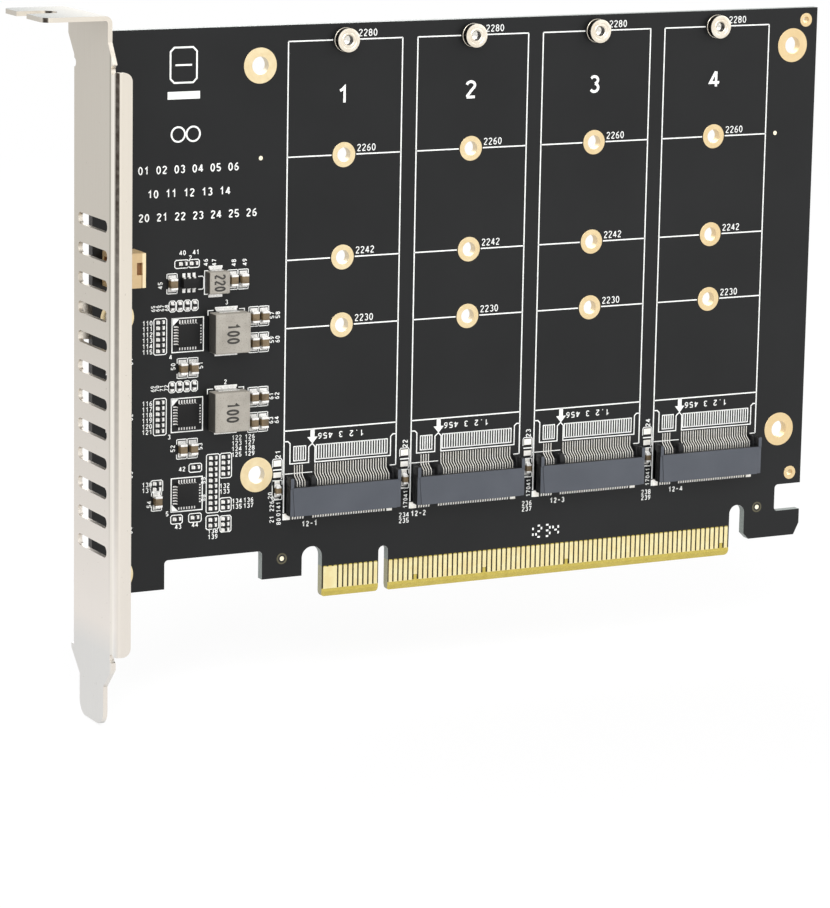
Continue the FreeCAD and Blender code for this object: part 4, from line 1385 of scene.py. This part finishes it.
# ---------------------------------------------------------------- bracket and stand-offs
@dataclass
class BracketAndFittings:
    """The folded bracket's finish, its two screws and the drive stand-offs.

    The thread holds radii and drops from the post's top, the rim and the foot insets from its side.
    """

    recess_wide: float = 0.5
    recess_reach: float = 1.25
    recess_share: float = 0.45
    recess_turn: float = 45.0
    crown_share: float = 0.62
    crown_wall: Point = (0.05, 0.93)
    head_steps: int = 36
    dome_share: float = 0.75
    dome_end: float = 50.0
    shank: float = 1.4
    shank_tip: float = 1.1
    tip_long: float = 0.3
    bore: float = 0.85
    collar: float = 1.15
    ease: float = 0.15
    nut_ease: float = 0.2
    thread: Outline = ((1.5, 0.0), (1.42, 0.06), (1.3, 0.06), (1.22, 0.0), (1.0, 0.0))
    rim: Outline = ((0.06, 0.2), (0.0, 0.12), (0.04, 0.04))
    rim_wide: float = 0.16
    foot: Outline = ((0.0, -0.01), (0.0, -0.08), (0.06, -0.14))

    def cross(self, made: Draft, x: float, z: float, top: float,
              head: float) -> None:
        """A screw head's flat crown with a cross-shaped pocket sunk into it.

        Args:
            made: the bmesh to add to.
            x: place of the axis.
            z: place of the axis.
            top: Y of the crown.
            head: radius of the crown.
        """
        near, far = self.recess_wide / 2, self.recess_reach
        outline = [(far, near), (near, near), (near, far)]
        cross, rim = [], []
        for quarter in range(4):
            turn = Matrix.Rotation(math.radians(90 * quarter + self.recess_turn), 2)
            for corner in outline:
                spot = turn @ Vector(corner)
                cross.append(made.verts.new((x + spot.x, top, z + spot.y)))
                spot = spot.normalized() * head
                rim.append(made.verts.new((x + spot.x, top, z + spot.y)))
        for index, corner in enumerate(cross):
            after = (index + 1) % len(cross)
            made.faces.new((corner, cross[after], rim[after], rim[index]))
        self.draw_out(made, cross, -top * self.recess_share)
        self.draw_out(made, rim, -top)

    def draw_out(self, made: Draft, loop: list[Corner],
                 depth: float) -> None:
        """Draw a closed loop of corners out along Y and close its far end.

        Args:
            made: the bmesh that holds the loop.
            loop: its corners in order.
            depth: how far it goes.
        """
        walls = bmesh.ops.extrude_edge_only(made, edges=[
            made.edges.get(pair) for pair in zip(loop, loop[1:] + loop[:1])])["geom"]
        moved = [item for item in walls if isinstance(item, Corner)]
        bmesh.ops.translate(made, verts=moved, vec=(0.0, depth, 0.0))
        end = [item for item in walls if isinstance(item, bmesh.types.BMEdge)
               and all(corner in moved for corner in item.verts)]
        bmesh.ops.contextual_create(made, geom=end)

    def screws(self) -> None:
        """Domed heads round a crossed crown, and plain shanks."""
        made = bmesh.new()
        for screw in solids_of("bracket_screws"):
            x, z = screw.middle.x, screw.middle.z
            top, head, back = screw.low.y, screw.size.x / 2, screw.high.y
            crown = head * self.crown_share
            dome = arc((0.0, (1 - self.dome_share) * top), (head, self.dome_share * top), 0,
                       self.dome_end, 5)
            inside, under = crown - self.crown_wall[0], top * self.crown_wall[1]
            turned(made, [(inside, 0.0), (inside, under), *dome[::-1], (head, 0.0)], x, z,
                   self.head_steps)
            self.cross(made, x, z, top, crown)
            turned(made, [(2 * PIN, -2 * PIN), (self.shank, -2 * PIN),
                          (self.shank, back - self.tip_long), (self.shank_tip, back),
                          (2 * PIN, back)], x, z, SMALL_ROUND)
        finished("bracket_screw_heads", made, Surface.SCREW, TURNED, ("bracket_screws",))

    def stand_offs(self) -> None:
        """Turned posts with eased rims and a thread in the bore, and the nuts behind them."""
        posts, nuts = bmesh.new(), bmesh.new()
        for post, nut in zip(solids_of("stand_off_posts"), solids_of("stand_off_nuts")):
            x, z = post.middle.x, post.middle.z
            top, wide, back, far = post.low.y, post.size.x / 2, post.high.y, nut.high.y
            profile = [(wide - self.rim_wide, top)]
            profile += [(radius, top + drop) for radius, drop in self.thread]
            profile += [(self.bore, top + self.ease), (self.bore, back), (self.collar, back),
                        (self.collar, -PIN)]
            profile += [(wide - inset, y) for inset, y in self.foot]
            profile += [(wide - inset, top + drop) for inset, drop in self.rim]
            turned(posts, profile, x, z, ROUND)
            turned(nuts, [(self.bore, back), (wide, back), (wide, far - self.ease),
                          (wide - self.ease, far), (self.shank_tip, far),
                          (self.bore, far - self.nut_ease)], x, z, ROUND)
        finished("stand_off_turnings", posts, Surface.NICKEL, CRISP, ("stand_off_posts",))
        finished("stand_off_disc_nuts", nuts, Surface.NICKEL, CRISP, ("stand_off_nuts",))

    def build(self) -> None:
        """Make the fittings and dress the bracket."""
        dress_node("bracket", Surface.SHEET)
        self.screws()
        self.stand_offs()


# ---------------------------------------------------------------- drive sockets
@dataclass
class DriveSockets:
    """The four drive sockets: mouldings, contact rows, tails and solder tabs."""

    lip: float = 1.15
    roof_front: float = 20.9
    roof_thick: float = 1.0
    roof_step: float = 0.12
    mouth_back: float = 17.3
    mouth_wall: float = 0.9
    post: float = 0.7
    undercut: float = 0.45
    undercut_high: float = 1.4
    key_wide: float = 0.95
    key_high: float = 2.3
    slant_front: float = 0.45
    slant_back: float = 0.85
    ease: float = 0.1
    key_ease: float = 0.14
    tab_ease: float = 0.06
    cap_thick: float = 0.2
    lap: float = 0.05
    joint: float = 0.1
    lead_thick: float = 0.15
    wall_reach: float = 1.6
    riser: Point = (0.25, 1.05)
    beam_end: float = 0.9
    beam_dip: float = 0.28
    beam_bend: float = 0.35
    tail_high: float = 0.65
    tail_toe: Point = (0.15, 0.6)
    tail_root: Point = (-0.05, 0.25)
    tail_bend: float = 0.2
    land_long: float = 0.4
    land_wider: float = 0.01
    slim: float = 0.055
    lip_set_back: float = 1.15
    count: int = 4

    def moulding(self, made: Draft, box: Extent, key: float) -> None:
        """One housing: roof, back wall, lip, undercut ends, slim posts and the key pillar.

        Args:
            made: the bmesh to add to.
            box: the CAD housing's box.
            key: X of the key between the two runs of contacts.
        """
        left, right, back, front = box.low.x, box.high.x, box.low.z, box.high.z
        high, cut, ease = -box.low.y, self.undercut, self.ease
        under = high - self.roof_step
        mouth = high - self.roof_thick
        block(made, (left, -under, back), (right, -mouth, self.roof_front), ease)
        near, far = self.roof_front, self.cap_thick - high
        prism(made, [(left + self.slant_back, far, back), (right - self.slant_back, far, back),
                     (right - self.slant_front, far, near),
                     (left + self.slant_front, far, near)], (0.0, -self.cap_thick, 0.0))
        block(made, (left + cut, -mouth - self.lap, back), (right - cut, 0.0, self.mouth_back),
              ease)
        block(made, (left + cut, -self.lip, self.mouth_back - 3 * self.joint),
              (right - cut, 0.0, front - self.lip_set_back), ease)
        for end, inward in ((left, 1), (right, -1)):
            for outer, reach, top, start, low, stop in (
                    (0.0, self.mouth_wall, mouth + self.lap, back, self.undercut_high,
                     self.roof_front),
                    (0.0, self.post, high, self.roof_front - 2 * self.joint,
                     self.undercut_high, front),
                    (cut, self.mouth_wall, self.undercut_high + self.joint, back, 0.0, front)):
                block(made, (end + inward * outer, -top, start),
                      (end + inward * reach, -low, stop), ease)
        half = self.key_wide / 2
        block(made, (key - half, -self.key_high, self.roof_front - self.joint),
              (key + half, -self.lip + self.joint, front - self.joint), self.key_ease, 3)
        block(made, (key - half, -mouth - self.lap, self.mouth_back - 2 * self.joint),
              (key + half, -self.lip + self.joint, self.roof_front))

    def contact(self, made: Draft, lead: Extent) -> None:
        """One lower contact: soldered foot, swept riser and a beam that runs into the mouth.

        Args:
            made: the bmesh to add to.
            lead: the CAD contact's box.
        """
        foot, inner, thick = lead.high.z, lead.low.z, self.lead_thick
        wall, beam = foot - self.wall_reach, lead.low.y + thick / 2
        spine = soften([(-thick / 2, foot), (-thick / 2, wall - self.riser[0]),
                        (beam, wall - self.riser[1]), (beam, inner + self.beam_end),
                        (beam - self.beam_dip, inner)], self.beam_bend, 3)
        ribbon(made, band(spine, thick), lead.low.x + self.slim, lead.high.x - self.slim)

    def tail(self, made: Draft, lead: Extent) -> None:
        """One upper contact's tail, cranked down to the board behind the housing.

        Args:
            made: the bmesh to add to.
            lead: the CAD tail's box.
        """
        thick = self.lead_thick
        spine = [(-thick / 2, lead.low.z + step) for step in self.tail_toe]
        spine += [(-self.tail_high, lead.high.z + step) for step in self.tail_root]
        spine = soften(spine, self.tail_bend, 2)
        ribbon(made, band(spine, thick), lead.low.x, lead.high.x)

    def tail_land(self, made: Draft, lead: Extent) -> None:
        """The tinned land that shows beyond one tail's toe."""
        block(made, (lead.low.x - self.land_wider, -LAND_THICK, lead.low.z),
              (lead.high.x + self.land_wider, 0.0, lead.low.z + self.land_long))

    def build(self) -> None:
        """Make the four sockets."""
        lands, tabs = bmesh.new(), bmesh.new()
        for number in range(1, self.count + 1):
            nodes = ["%s_%d" % (name, number)
                     for name in ("socket_housing", "front_leads", "rear_leads")]
            lower = solids_of(nodes[1])
            gaps = [after.low.x - before.high.x for before, after in zip(lower, lower[1:])]
            split = gaps.index(max(gaps))
            key = (lower[split].high.x + lower[split + 1].low.x) / 2
            shell, contacts, tails = (bmesh.new() for _ in nodes)
            self.moulding(shell, node_extent(nodes[0]), key)
            for lead in lower:
                self.contact(contacts, lead)
            for lead in solids_of(nodes[2]):
                self.tail(tails, lead)
                self.tail_land(lands, lead)
            for name, made, surface, smooth, node in (
                    ("socket_moulding", shell, Surface.NYLON, CRISP, nodes[0]),
                    ("lower_contacts", contacts, Surface.CONTACT, EASED, nodes[1]),
                    ("upper_contact_tails", tails, Surface.CONTACT, EASED, nodes[2])):
                finished("%s_%d" % (name, number), made, surface, smooth, (node,))
        finished("tail_lands", lands, Surface.TIN)
        for tab in solids_of("socket_hold_downs"):
            block(tabs, tab.low, tab.high, self.tab_ease)
        finished("socket_solder_tabs", tabs, Surface.CONTACT, EASED, ("socket_hold_downs",))


# ---------------------------------------------------------------- power section
@dataclass
class PowerSection:
    """Inductors, chips, capacitors, resistors, lamps and their lands and numbers.

    A land's numbers say how far it reaches back under the part and out from it, how much wider
    than the part it is, and how high.
    """

    choke_ease: float = 0.28
    clip_ease: float = 0.03
    cap_ease: float = 0.1
    body_ease: float = 0.06
    case_ease: float = 0.05
    switch_ease: float = 0.08
    small_ease: float = 0.04
    land_ease: float = 0.02
    solder_ease: float = 0.015
    body_overlap: float = 0.05
    cap_near: float = 1.2
    cap_land: Span = (0.35, 0.45, 0.05)
    solder_inset: float = 0.08
    mark_tall: float = 0.85
    chip_pitch: float = 0.5
    chip_pad: float = 0.11
    chip_leads: tuple[Span, ...] = ((-0.15, 0.62, 0.05), (-0.1, 0.04, 0.6))
    chip_side: int = 3
    chip_frame: float = 0.95
    chip_pen: float = 0.18
    pin_one: float = 1.45
    pin_one_corners: tuple[tuple[str, int, int], ...] = (
        ("upper_converter_chip", -1, 1), ("lower_converter_chip", -1, 1), ("clock_chip", -1, -1))
    switch_land: Span = (0.45, 0.3, 0.08, 0.09)
    clip_thick: float = 0.12
    clip_land: Span = (0.1, 0.35, 0.15, 0.05)
    mark_thick: float = 0.015
    end_long: float = 0.24
    end_skin: Point = (0.03, 0.02)
    end_land: Point = (0.3, 0.06)
    fillet: Outline = ((0.0, 0.0), (-0.6, -0.02), (-0.55, 0.06), (-0.16, 0.24),
                                 (-0.03, 0.4), (0.0, 0.42))
    cap_row: float = 1.72
    cap_reach: float = 0.85
    cap_side: float = 0.95
    cap_return: float = 0.9
    small_frame: Span = (0.62, 0.95, 0.3)
    bank_corner: float = 0.25
    bank_pen: float = 0.15
    bracket_pen: float = 0.16
    cap_pen: float = 0.14
    small_pen: float = 0.13
    choke_marks: tuple[tuple[str, str, float, float], ...] = (
        ("upper", "100", 2.4, 0.66), ("lower", "100", 2.4, 0.66), ("small", "220", 2.1, 0.62))
    choke_corner: Span = (2.4, 0.1, 0.25, 0.6)
    banks: tuple[Span, ...] = (
        (-44.75, -42.35, 45.75, 52.05), (-44.75, -42.35, 31.65, 38.1),
        (-34.7, -32.2, 17.15, 27.55), (-32.1, -29.9, 23.15, 27.55), (-32.1, -29.9, 17.2, 19.6),
        (-34.7, -32.25, 14.2, 16.65), (-32.0, -29.9, 13.5, 16.4), (-45.2, -42.95, 21.65, 23.75),
        (-38.0, -35.6, 24.65, 26.15), (-40.9, -38.3, 60.55, 61.95), (-38.3, -36.3, 60.55, 61.95),
        (-41.4, -39.2, 15.75, 17.3), (-38.0, -35.6, 15.75, 17.3))
    brackets: tuple[Outline, ...] = (
        ((-34.6, 59.85), (-35.3, 59.85), (-35.3, 55.75), (-34.6, 55.75)),
        ((-36.5, 58.95), (-35.7, 58.95), (-35.45, 58.7), (-35.45, 56.95), (-35.7, 56.7),
         (-36.5, 56.7)))
    number_stacks: tuple[tuple[float, float, int], ...] = (
        (-45.95, 51.35, 6), (-45.95, 37.35, 6), (-28.95, 30.15, 4), (-26.45, 30.15, 4),
        (-45.9, 23.1, 2), (-31.2, 21.75, 2), (-28.8, 18.85, 2), (-26.6, 18.85, 2),
        (-33.4, 13.85, 2))
    level_numbers: Outline = ((-39.45, 63.2), (-36.95, 63.2), (-39.3, 25.35),
                                        (-40.0, 15.2), (-36.8, 15.3))
    upright_numbers: Outline = (
        (-43.6, 57.75), (-35.1, 61.3), (-33.5, 61.2), (-29.8, 60.95), (-27.7, 60.95),
        (-41.1, 43.5), (-35.9, 43.4), (-41.1, 29.1), (-35.9, 29.1), (-45.5, 19.6),
        (-35.25, 23.0), (-35.25, 19.9), (-22.4, 51.3), (-21.3, 51.3), (-22.4, 47.0),
        (-21.3, 47.0), (-22.4, 37.0), (-21.3, 37.0), (-22.4, 32.7), (-21.3, 32.7))
    single_numbers: tuple[tuple[float, float, str], ...] = (
        (-38.0, 62.3, "2"), (-31.1, 54.15, "3"), (-31.2, 40.15, "2"), (-41.6, 45.2, "4"),
        (-41.8, 31.2, "3"), (-42.1, 17.65, "5"))
    first_number: int = 10
    stack_number: int = 100
    lamp_x: float = -49.0
    lamp_numbers: Span = (44.9, 35.2, 25.1, 15.3)
    row_x: float = -44.9
    row_pitch: float = 0.85
    row_long: int = 4
    row_numbers: Point = (53.8, 39.85)
    row_tall: float = 0.75

    def chokes(self, plain: Numerals) -> None:
        """Pressed inductor bodies with a soft crown, wrapped end clips and a plain mark.

        Args:
            plain: thin digits.
        """
        marks = bmesh.new()
        thick = self.clip_thick
        back, ahead, wider, high = self.clip_land
        for name, text, tall, stretch in self.choke_marks:
            body = node_extent(name + "_inductor_body")
            clips = node_extent(name + "_inductor_clips")
            made, metal = bmesh.new(), bmesh.new()
            block(made, body.low, body.high, self.choke_ease, 3)
            half, x = clips.size.x / 2, clips.middle.x
            for toe, face in ((clips.high.z, body.high.z), (clips.low.z, body.low.z)):
                sign = 1 if toe > face else -1
                block(metal, (x - half, -thick, face), (x + half, 0.0, toe), self.clip_ease)
                block(metal, (x - half, clips.low.y, face),
                      (x + half, 0.0, face + sign * thick), self.clip_ease)
                block(metal, (x - half - wider, -high, toe - sign * back),
                      (x + half + wider, 0.0, toe + sign * ahead), self.land_ease)
            finished(name + "_inductor_block", made, Surface.POWDER, EASED,
                     (name + "_inductor_body",))
            finished(name + "_inductor_ends", metal, Surface.CLIP, EASED,
                     (name + "_inductor_clips",))
            plain.stamp(marks, text, (body.middle.x, body.middle.z), tall, Turn.READS_DOWN,
                        body.low.y, self.mark_thick, stretch)
        finished("inductor_marks", marks, Surface.MARK)

    def capacitor(self, bodies: Draft, ends: Draft,
                  lands: Draft, middle: Extent, caps: list[Extent]) -> None:
        """One chip capacitor: eased ceramic, two wrapped metal ends, lands and solder.

        Args:
            bodies: ceramic parts.
            ends: metal ends.
            lands: tinned lands and solder.
            middle: the ceramic's box.
            caps: the boxes of its two ends.
        """
        overlap, inset = Vector((0, 0, self.body_overlap)), self.solder_inset
        back, ahead, wider = self.cap_land
        block(bodies, middle.low - overlap, middle.high + overlap, self.body_ease)
        for end in caps:
            block(ends, end.low, end.high, self.cap_ease, 3)
            outward = 1 if end.middle.z > middle.middle.z else -1
            face = end.high.z if outward > 0 else end.low.z
            block(lands, (end.low.x - wider, -LAND_THICK, face - outward * back),
                  (end.high.x + wider, 0.0, face + outward * ahead), self.solder_ease)
            ribbon(lands, [(y, face + outward * z) for y, z in self.fillet],
                   end.low.x + inset, end.high.x - inset)

    def capacitors(self) -> None:
        """Every tan chip capacitor of the power section and beside the sockets."""
        lands = bmesh.new()
        for kind in ("filter", "socket"):
            bodies, ends = bmesh.new(), bmesh.new()
            metal = solids_of(kind + "_capacitor_ends")
            for middle in solids_of(kind + "_capacitor_bodies"):
                pair = [end for end in metal
                        if (end.middle - middle.middle).length < self.cap_near]
                self.capacitor(bodies, ends, lands, middle, pair)
            finished(kind + "_capacitor_ceramics", bodies, Surface.CERAMIC, EASED,
                     (kind + "_capacitor_bodies",))
            finished(kind + "_capacitor_caps", ends, Surface.TIN, EASED,
                     (kind + "_capacitor_ends",))
        finished("capacitor_lands", lands, Surface.TIN, MOLTEN)

    def small_parts(self) -> None:
        """Resistors, small capacitors and lamps, each with bright ends on tinned lands."""
        metal = bmesh.new()
        for node, name, surface in (("resistors", "resistor_blocks", Surface.GLAZE),
                                    ("small_capacitors", "small_ceramics", Surface.GLAZE),
                                    ("status_lamps", "lamp_bodies", Surface.RESIN)):
            made = bmesh.new()
            for part in solids_of(node):
                block(made, part.low, part.high, self.small_ease)
                flat = part.size.x > part.size.z
                long, wide = sorted((part.size.x, part.size.z), reverse=True)
                x, z = part.middle.x, part.middle.z
                for sign in (-1, 1):
                    end = long / 2 * sign
                    for (reach, grow), high in (
                            (self.end_skin, self.end_skin[1] - part.low.y),
                            (self.end_land, self.end_land[1])):
                        near, far = end - self.end_long * sign, end + reach * sign
                        half = wide / 2 + grow
                        one, other = (near, -half), (far, half)
                        if not flat:
                            one, other = one[::-1], other[::-1]
                        block(metal, (x + one[0], -high, z + one[1]),
                              (x + other[0], 0.0, z + other[1]), self.land_ease, 1)
            finished(name, made, surface, EASED, (node,))
        finished("small_part_ends", metal, Surface.TIN, EASED)

    def chips(self, work: Print) -> None:
        """Flat chips with an eased rim, a printed pin-one corner and tinned lands all round.

        Args:
            work: the white legend, for the outlines.
        """
        lands, pad = bmesh.new(), self.chip_pad
        for node, side, end in self.pin_one_corners:
            box = self.case(node)
            x, z, half = box.middle.x, box.middle.z, box.size.x / 2
            for step in range(-self.chip_side, self.chip_side + 1):
                shift = step * self.chip_pitch
                for outward in (-1, 1):
                    for near, far, high in self.chip_leads:
                        near, far = outward * (half + near), outward * (half + far)
                        block(lands, (x + near, -high, z + shift - pad),
                              (x + far, 0.0, z + shift + pad), self.solder_ease, 1)
                        block(lands, (x + shift - pad, -high, z + near),
                              (x + shift + pad, 0.0, z + far), self.solder_ease, 1)
            reach = half + self.chip_frame
            work.frame(x - reach, x + reach, z - reach, z + reach, self.chip_pen)
            tip = (x + side * reach, z + end * reach)
            work.patch([tip, (tip[0] - side * self.pin_one, tip[1]),
                        (tip[0], tip[1] - end * self.pin_one)])
        middle = node_extent("switch_chip").middle.z
        back, ahead, wider, high = self.switch_land
        for lead in solids_of("switch_chip_leads"):
            outward = 1 if lead.middle.z > middle else -1
            toe = lead.high.z if outward > 0 else lead.low.z
            block(lands, (lead.low.x - wider, -high, toe - outward * back),
                  (lead.high.x + wider, 0.0, toe + outward * ahead), self.small_ease)
        finished("chip_lands", lands, Surface.TIN)
        self.case("switch_chip", self.switch_ease)
        dress_node("switch_chip_leads", Surface.TIN)

    def case(self, node: str, ease: float = case_ease) -> Extent:
        """A chip's moulded case.

        Args:
            node: the chip's CAD node.
            ease: width of its eased rim.

        Returns:
            The chip's box.
        """
        box, made = node_extent(node), bmesh.new()
        block(made, box.low, box.high, ease)
        finished(node + "_case", made, Surface.EPOXY, EASED, (node,))
        return box

    def outlines(self, work: Print) -> None:
        """White outlines round the capacitors, the resistor banks and the inductors.

        Args:
            work: the white legend.
        """
        for kind in ("filter", "socket"):
            for body in solids_of(kind + "_capacitor_bodies"):
                x, z = body.middle.x, body.middle.z
                for end in (-1, 1):
                    row = z + end * self.cap_row
                    work.bar((x - self.cap_reach, row), (x + self.cap_reach, row), self.cap_pen)
                    for side in (x - self.cap_side, x + self.cap_side):
                        work.bar((side, row), (side, z + end * self.cap_return), self.cap_pen)
        for bank in self.banks:
            work.frame(*bank, self.bank_pen, self.bank_corner)
        for line in self.brackets:
            work.path(line, self.bracket_pen)
        wide, tall, cut = self.small_frame
        for part in solids_of("small_capacitors"):
            x, z = part.middle.x, part.middle.z
            work.frame(x - wide, x + wide, z - tall, z + tall, self.small_pen, cut)
        near, clear, above, below = self.choke_corner
        for name in ("upper", "lower"):
            box = node_extent(name + "_inductor_body")
            for side in (-1, 1):
                edge = box.middle.x + side * (box.size.x / 2 + clear)
                inner = box.middle.x + side * near
                work.path([(inner, box.high.z + above), (edge, box.high.z + above),
                           (edge, box.high.z - below)], self.bank_pen)

    def numbers(self, work: Print, plain: Numerals) -> None:
        """Plain numbers beside the parts, where a maker's list would have them.

        Args:
            work: the white legend.
            plain: thin digits.
        """
        tall, count = self.mark_tall, self.first_number
        for x, z, rows in self.number_stacks:
            for row in range(rows):
                plain.stamp(work.made, "%d" % (self.stack_number + count), (x, z - row), tall)
                count += 1
        for places, turn in ((self.level_numbers, Turn.UPRIGHT),
                             (self.upright_numbers, Turn.READS_UP)):
            for place in places:
                plain.stamp(work.made, "%d" % count, place, tall, turn)
                count += 1
        for low in self.row_numbers:
            for step in range(self.row_long):
                plain.stamp(work.made, "%d" % count, (self.row_x + step * self.row_pitch, low),
                            self.row_tall, Turn.READS_UP)
                count += 1
        for x, z, text in self.single_numbers:
            plain.stamp(work.made, text, (x, z), tall)
        for step, z in enumerate(self.lamp_numbers):
            plain.stamp(work.made, "0%d" % (step + 1), (self.lamp_x, z), tall, Turn.READS_UP)

    def build(self, plain: Numerals, work: Print) -> None:
        """Make the power section.

        Args:
            plain: thin digits.
            work: the white legend.
        """
        self.chokes(plain)
        self.capacitors()
        self.small_parts()
        self.chips(work)
        self.outlines(work)
        self.numbers(work, plain)


@dataclass
class LeadHeader:
    """The two-pin lead header beside the bracket."""

    shroud: str = "lead_header"
    pins: str = "lead_header_pins"

    def build(self) -> None:
        """Dress the shroud and its pins."""
        dress_node(self.shroud, Surface.NATURAL)
        dress_node(self.pins, Surface.TIN)


# ---------------------------------------------------------------- studio
@dataclass
class Studio:
    """Camera, soft lights, pale floor and a white surround."""

    eye: Span = (-0.3233, -0.6351, 0.17255)
    right: Span = (0.8893, -0.4571, 0.0175)
    down: Span = (-0.0774, -0.1882, -0.9791)
    ahead: Span = (0.4508, 0.8693, -0.2027)
    lens: float = 162.70
    sensor: float = 36.0
    clip: Point = (0.01, 50.0)
    sky_light: float = 0.62
    aim: Span = (0.01, 0.0, 0.045)
    lamps: tuple[tuple[str, Span, float, float], ...] = (
        ("key", (-0.45, -0.75, 0.75), 0.6, 9.0), ("fill", (0.95, -0.4, 0.5), 0.7, 5.0),
        ("back", (0.1, 0.8, 0.6), 0.8, 6.0))
    floor_z: float = -0.0163
    floor_reach: float = 6.0
    floor_tone: float = 0.86
    floor_white: Point = (0.3, 0.7)

    def camera(self) -> None:
        """Set the camera at the viewing angle."""
        data = bpy.data.cameras.new("view")
        data.lens = self.lens
        data.sensor_width = self.sensor
        data.clip_start, data.clip_end = self.clip
        holder = bpy.data.objects.new("view", data)
        axes = Matrix((self.right, -Vector(self.down), -Vector(self.ahead))).transposed()
        turn = axes.to_quaternion().normalized()
        holder.matrix_world = Matrix.Translation(self.eye) @ turn.to_matrix().to_4x4()
        bpy.context.scene.collection.objects.link(holder)
        bpy.context.scene.camera = holder

    def white_surround(self) -> None:
        """A world that is white to the eye and in gloss, and softer as light."""
        world = bpy.data.worlds.new("surround")
        world.use_nodes = True
        bpy.context.scene.world = world
        tree = world.node_tree
        sky = tree.nodes["Background"]
        level = tree.nodes.new("ShaderNodeMapRange")
        tree.links.new(seen_share(tree), level.inputs["Value"])
        level.inputs["To Min"].default_value = self.sky_light
        level.inputs["To Max"].default_value = 1.0
        tree.links.new(level.outputs[0], sky.inputs["Strength"])
        sky.inputs["Color"].default_value = (1.0, 1.0, 1.0, 1.0)

    def lamp(self, name: str, place: Span, size: float, power: float) -> None:
        """One soft square lamp that faces the card.

        Args:
            name: the lamp's name.
            place: where it hangs.
            size: side of its square.
            power: watts.
        """
        data = bpy.data.lights.new(name, "AREA")
        data.shape = "SQUARE"
        data.size = size
        data.energy = power
        holder = bpy.data.objects.new(name, data)
        look = (Vector(self.aim) - Vector(place)).to_track_quat("-Z", "Y")
        holder.matrix_world = Matrix.Translation(place) @ look.to_matrix().to_4x4()
        bpy.context.scene.collection.objects.link(holder)

    def floor(self) -> None:
        """A wide pale floor that keeps a faint shadow."""
        made = bmesh.new()
        bmesh.ops.create_grid(made, x_segments=1, y_segments=1, size=self.floor_reach,
                              matrix=Matrix.Translation((0.0, 0.0, self.floor_z)))
        mesh = bpy.data.meshes.new("floor")
        made.to_mesh(mesh)
        made.free()
        piece = bpy.data.objects.new("floor", mesh)
        bpy.context.scene.collection.objects.link(piece)
        graph = Graph("pale_floor")
        tree, tone = graph.tree, self.floor_tone
        for source, socket in (((tone, tone, tone, 1.0), "Base Color"), (1.0, "Roughness"),
                               (0.0, "Specular IOR Level")):
            graph.join(source, graph.shader.inputs[socket])
        reach = graph.add("ShaderNodeVectorMath", operation="LENGTH")
        graph.join(graph.place, reach.inputs[0])
        away = graph.spread(reach.outputs["Value"], *self.floor_white, tone, 1.0)
        glow = graph.add("ShaderNodeEmission")
        mixed = graph.add("ShaderNodeMixShader")
        graph.join(graph.both(seen_share(tree), away), mixed.inputs[0])
        graph.join(graph.shader.outputs[0], mixed.inputs[1])
        graph.join(glow.outputs[0], mixed.inputs[2])
        graph.join(mixed.outputs[0], tree.nodes["Material Output"].inputs["Surface"])
        mesh.materials.append(graph.material)

    def build(self) -> None:
        """Set up the whole studio."""
        bpy.context.scene.view_settings.view_transform = "Standard"
        self.camera()
        self.white_surround()
        for lamp in self.lamps:
            self.lamp(*lamp)
        self.floor()


def corners(bounds: tuple[Vector, Vector]) -> list[list[float]]:
    """Two corners as plain lists of numbers."""
    return [list(corner) for corner in bounds]


def main() -> None:
    """Build every part of the scene in order."""
    logging.basicConfig(level=logging.INFO, format="%(name)s: %(message)s")
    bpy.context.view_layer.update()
    Studio().build()
    thin, plain, bold = Numerals(0.12), Numerals(0.15), Numerals(0.2)
    legend = Print()
    CircuitBoard().build(thin, plain, bold, legend)
    BracketAndFittings().build()
    DriveSockets().build()
    PowerSection().build(plain, legend)
    LeadHeader().build()
    finished("white_legend", legend.made, Surface.INK)


if __name__ == "__main__":
    main()
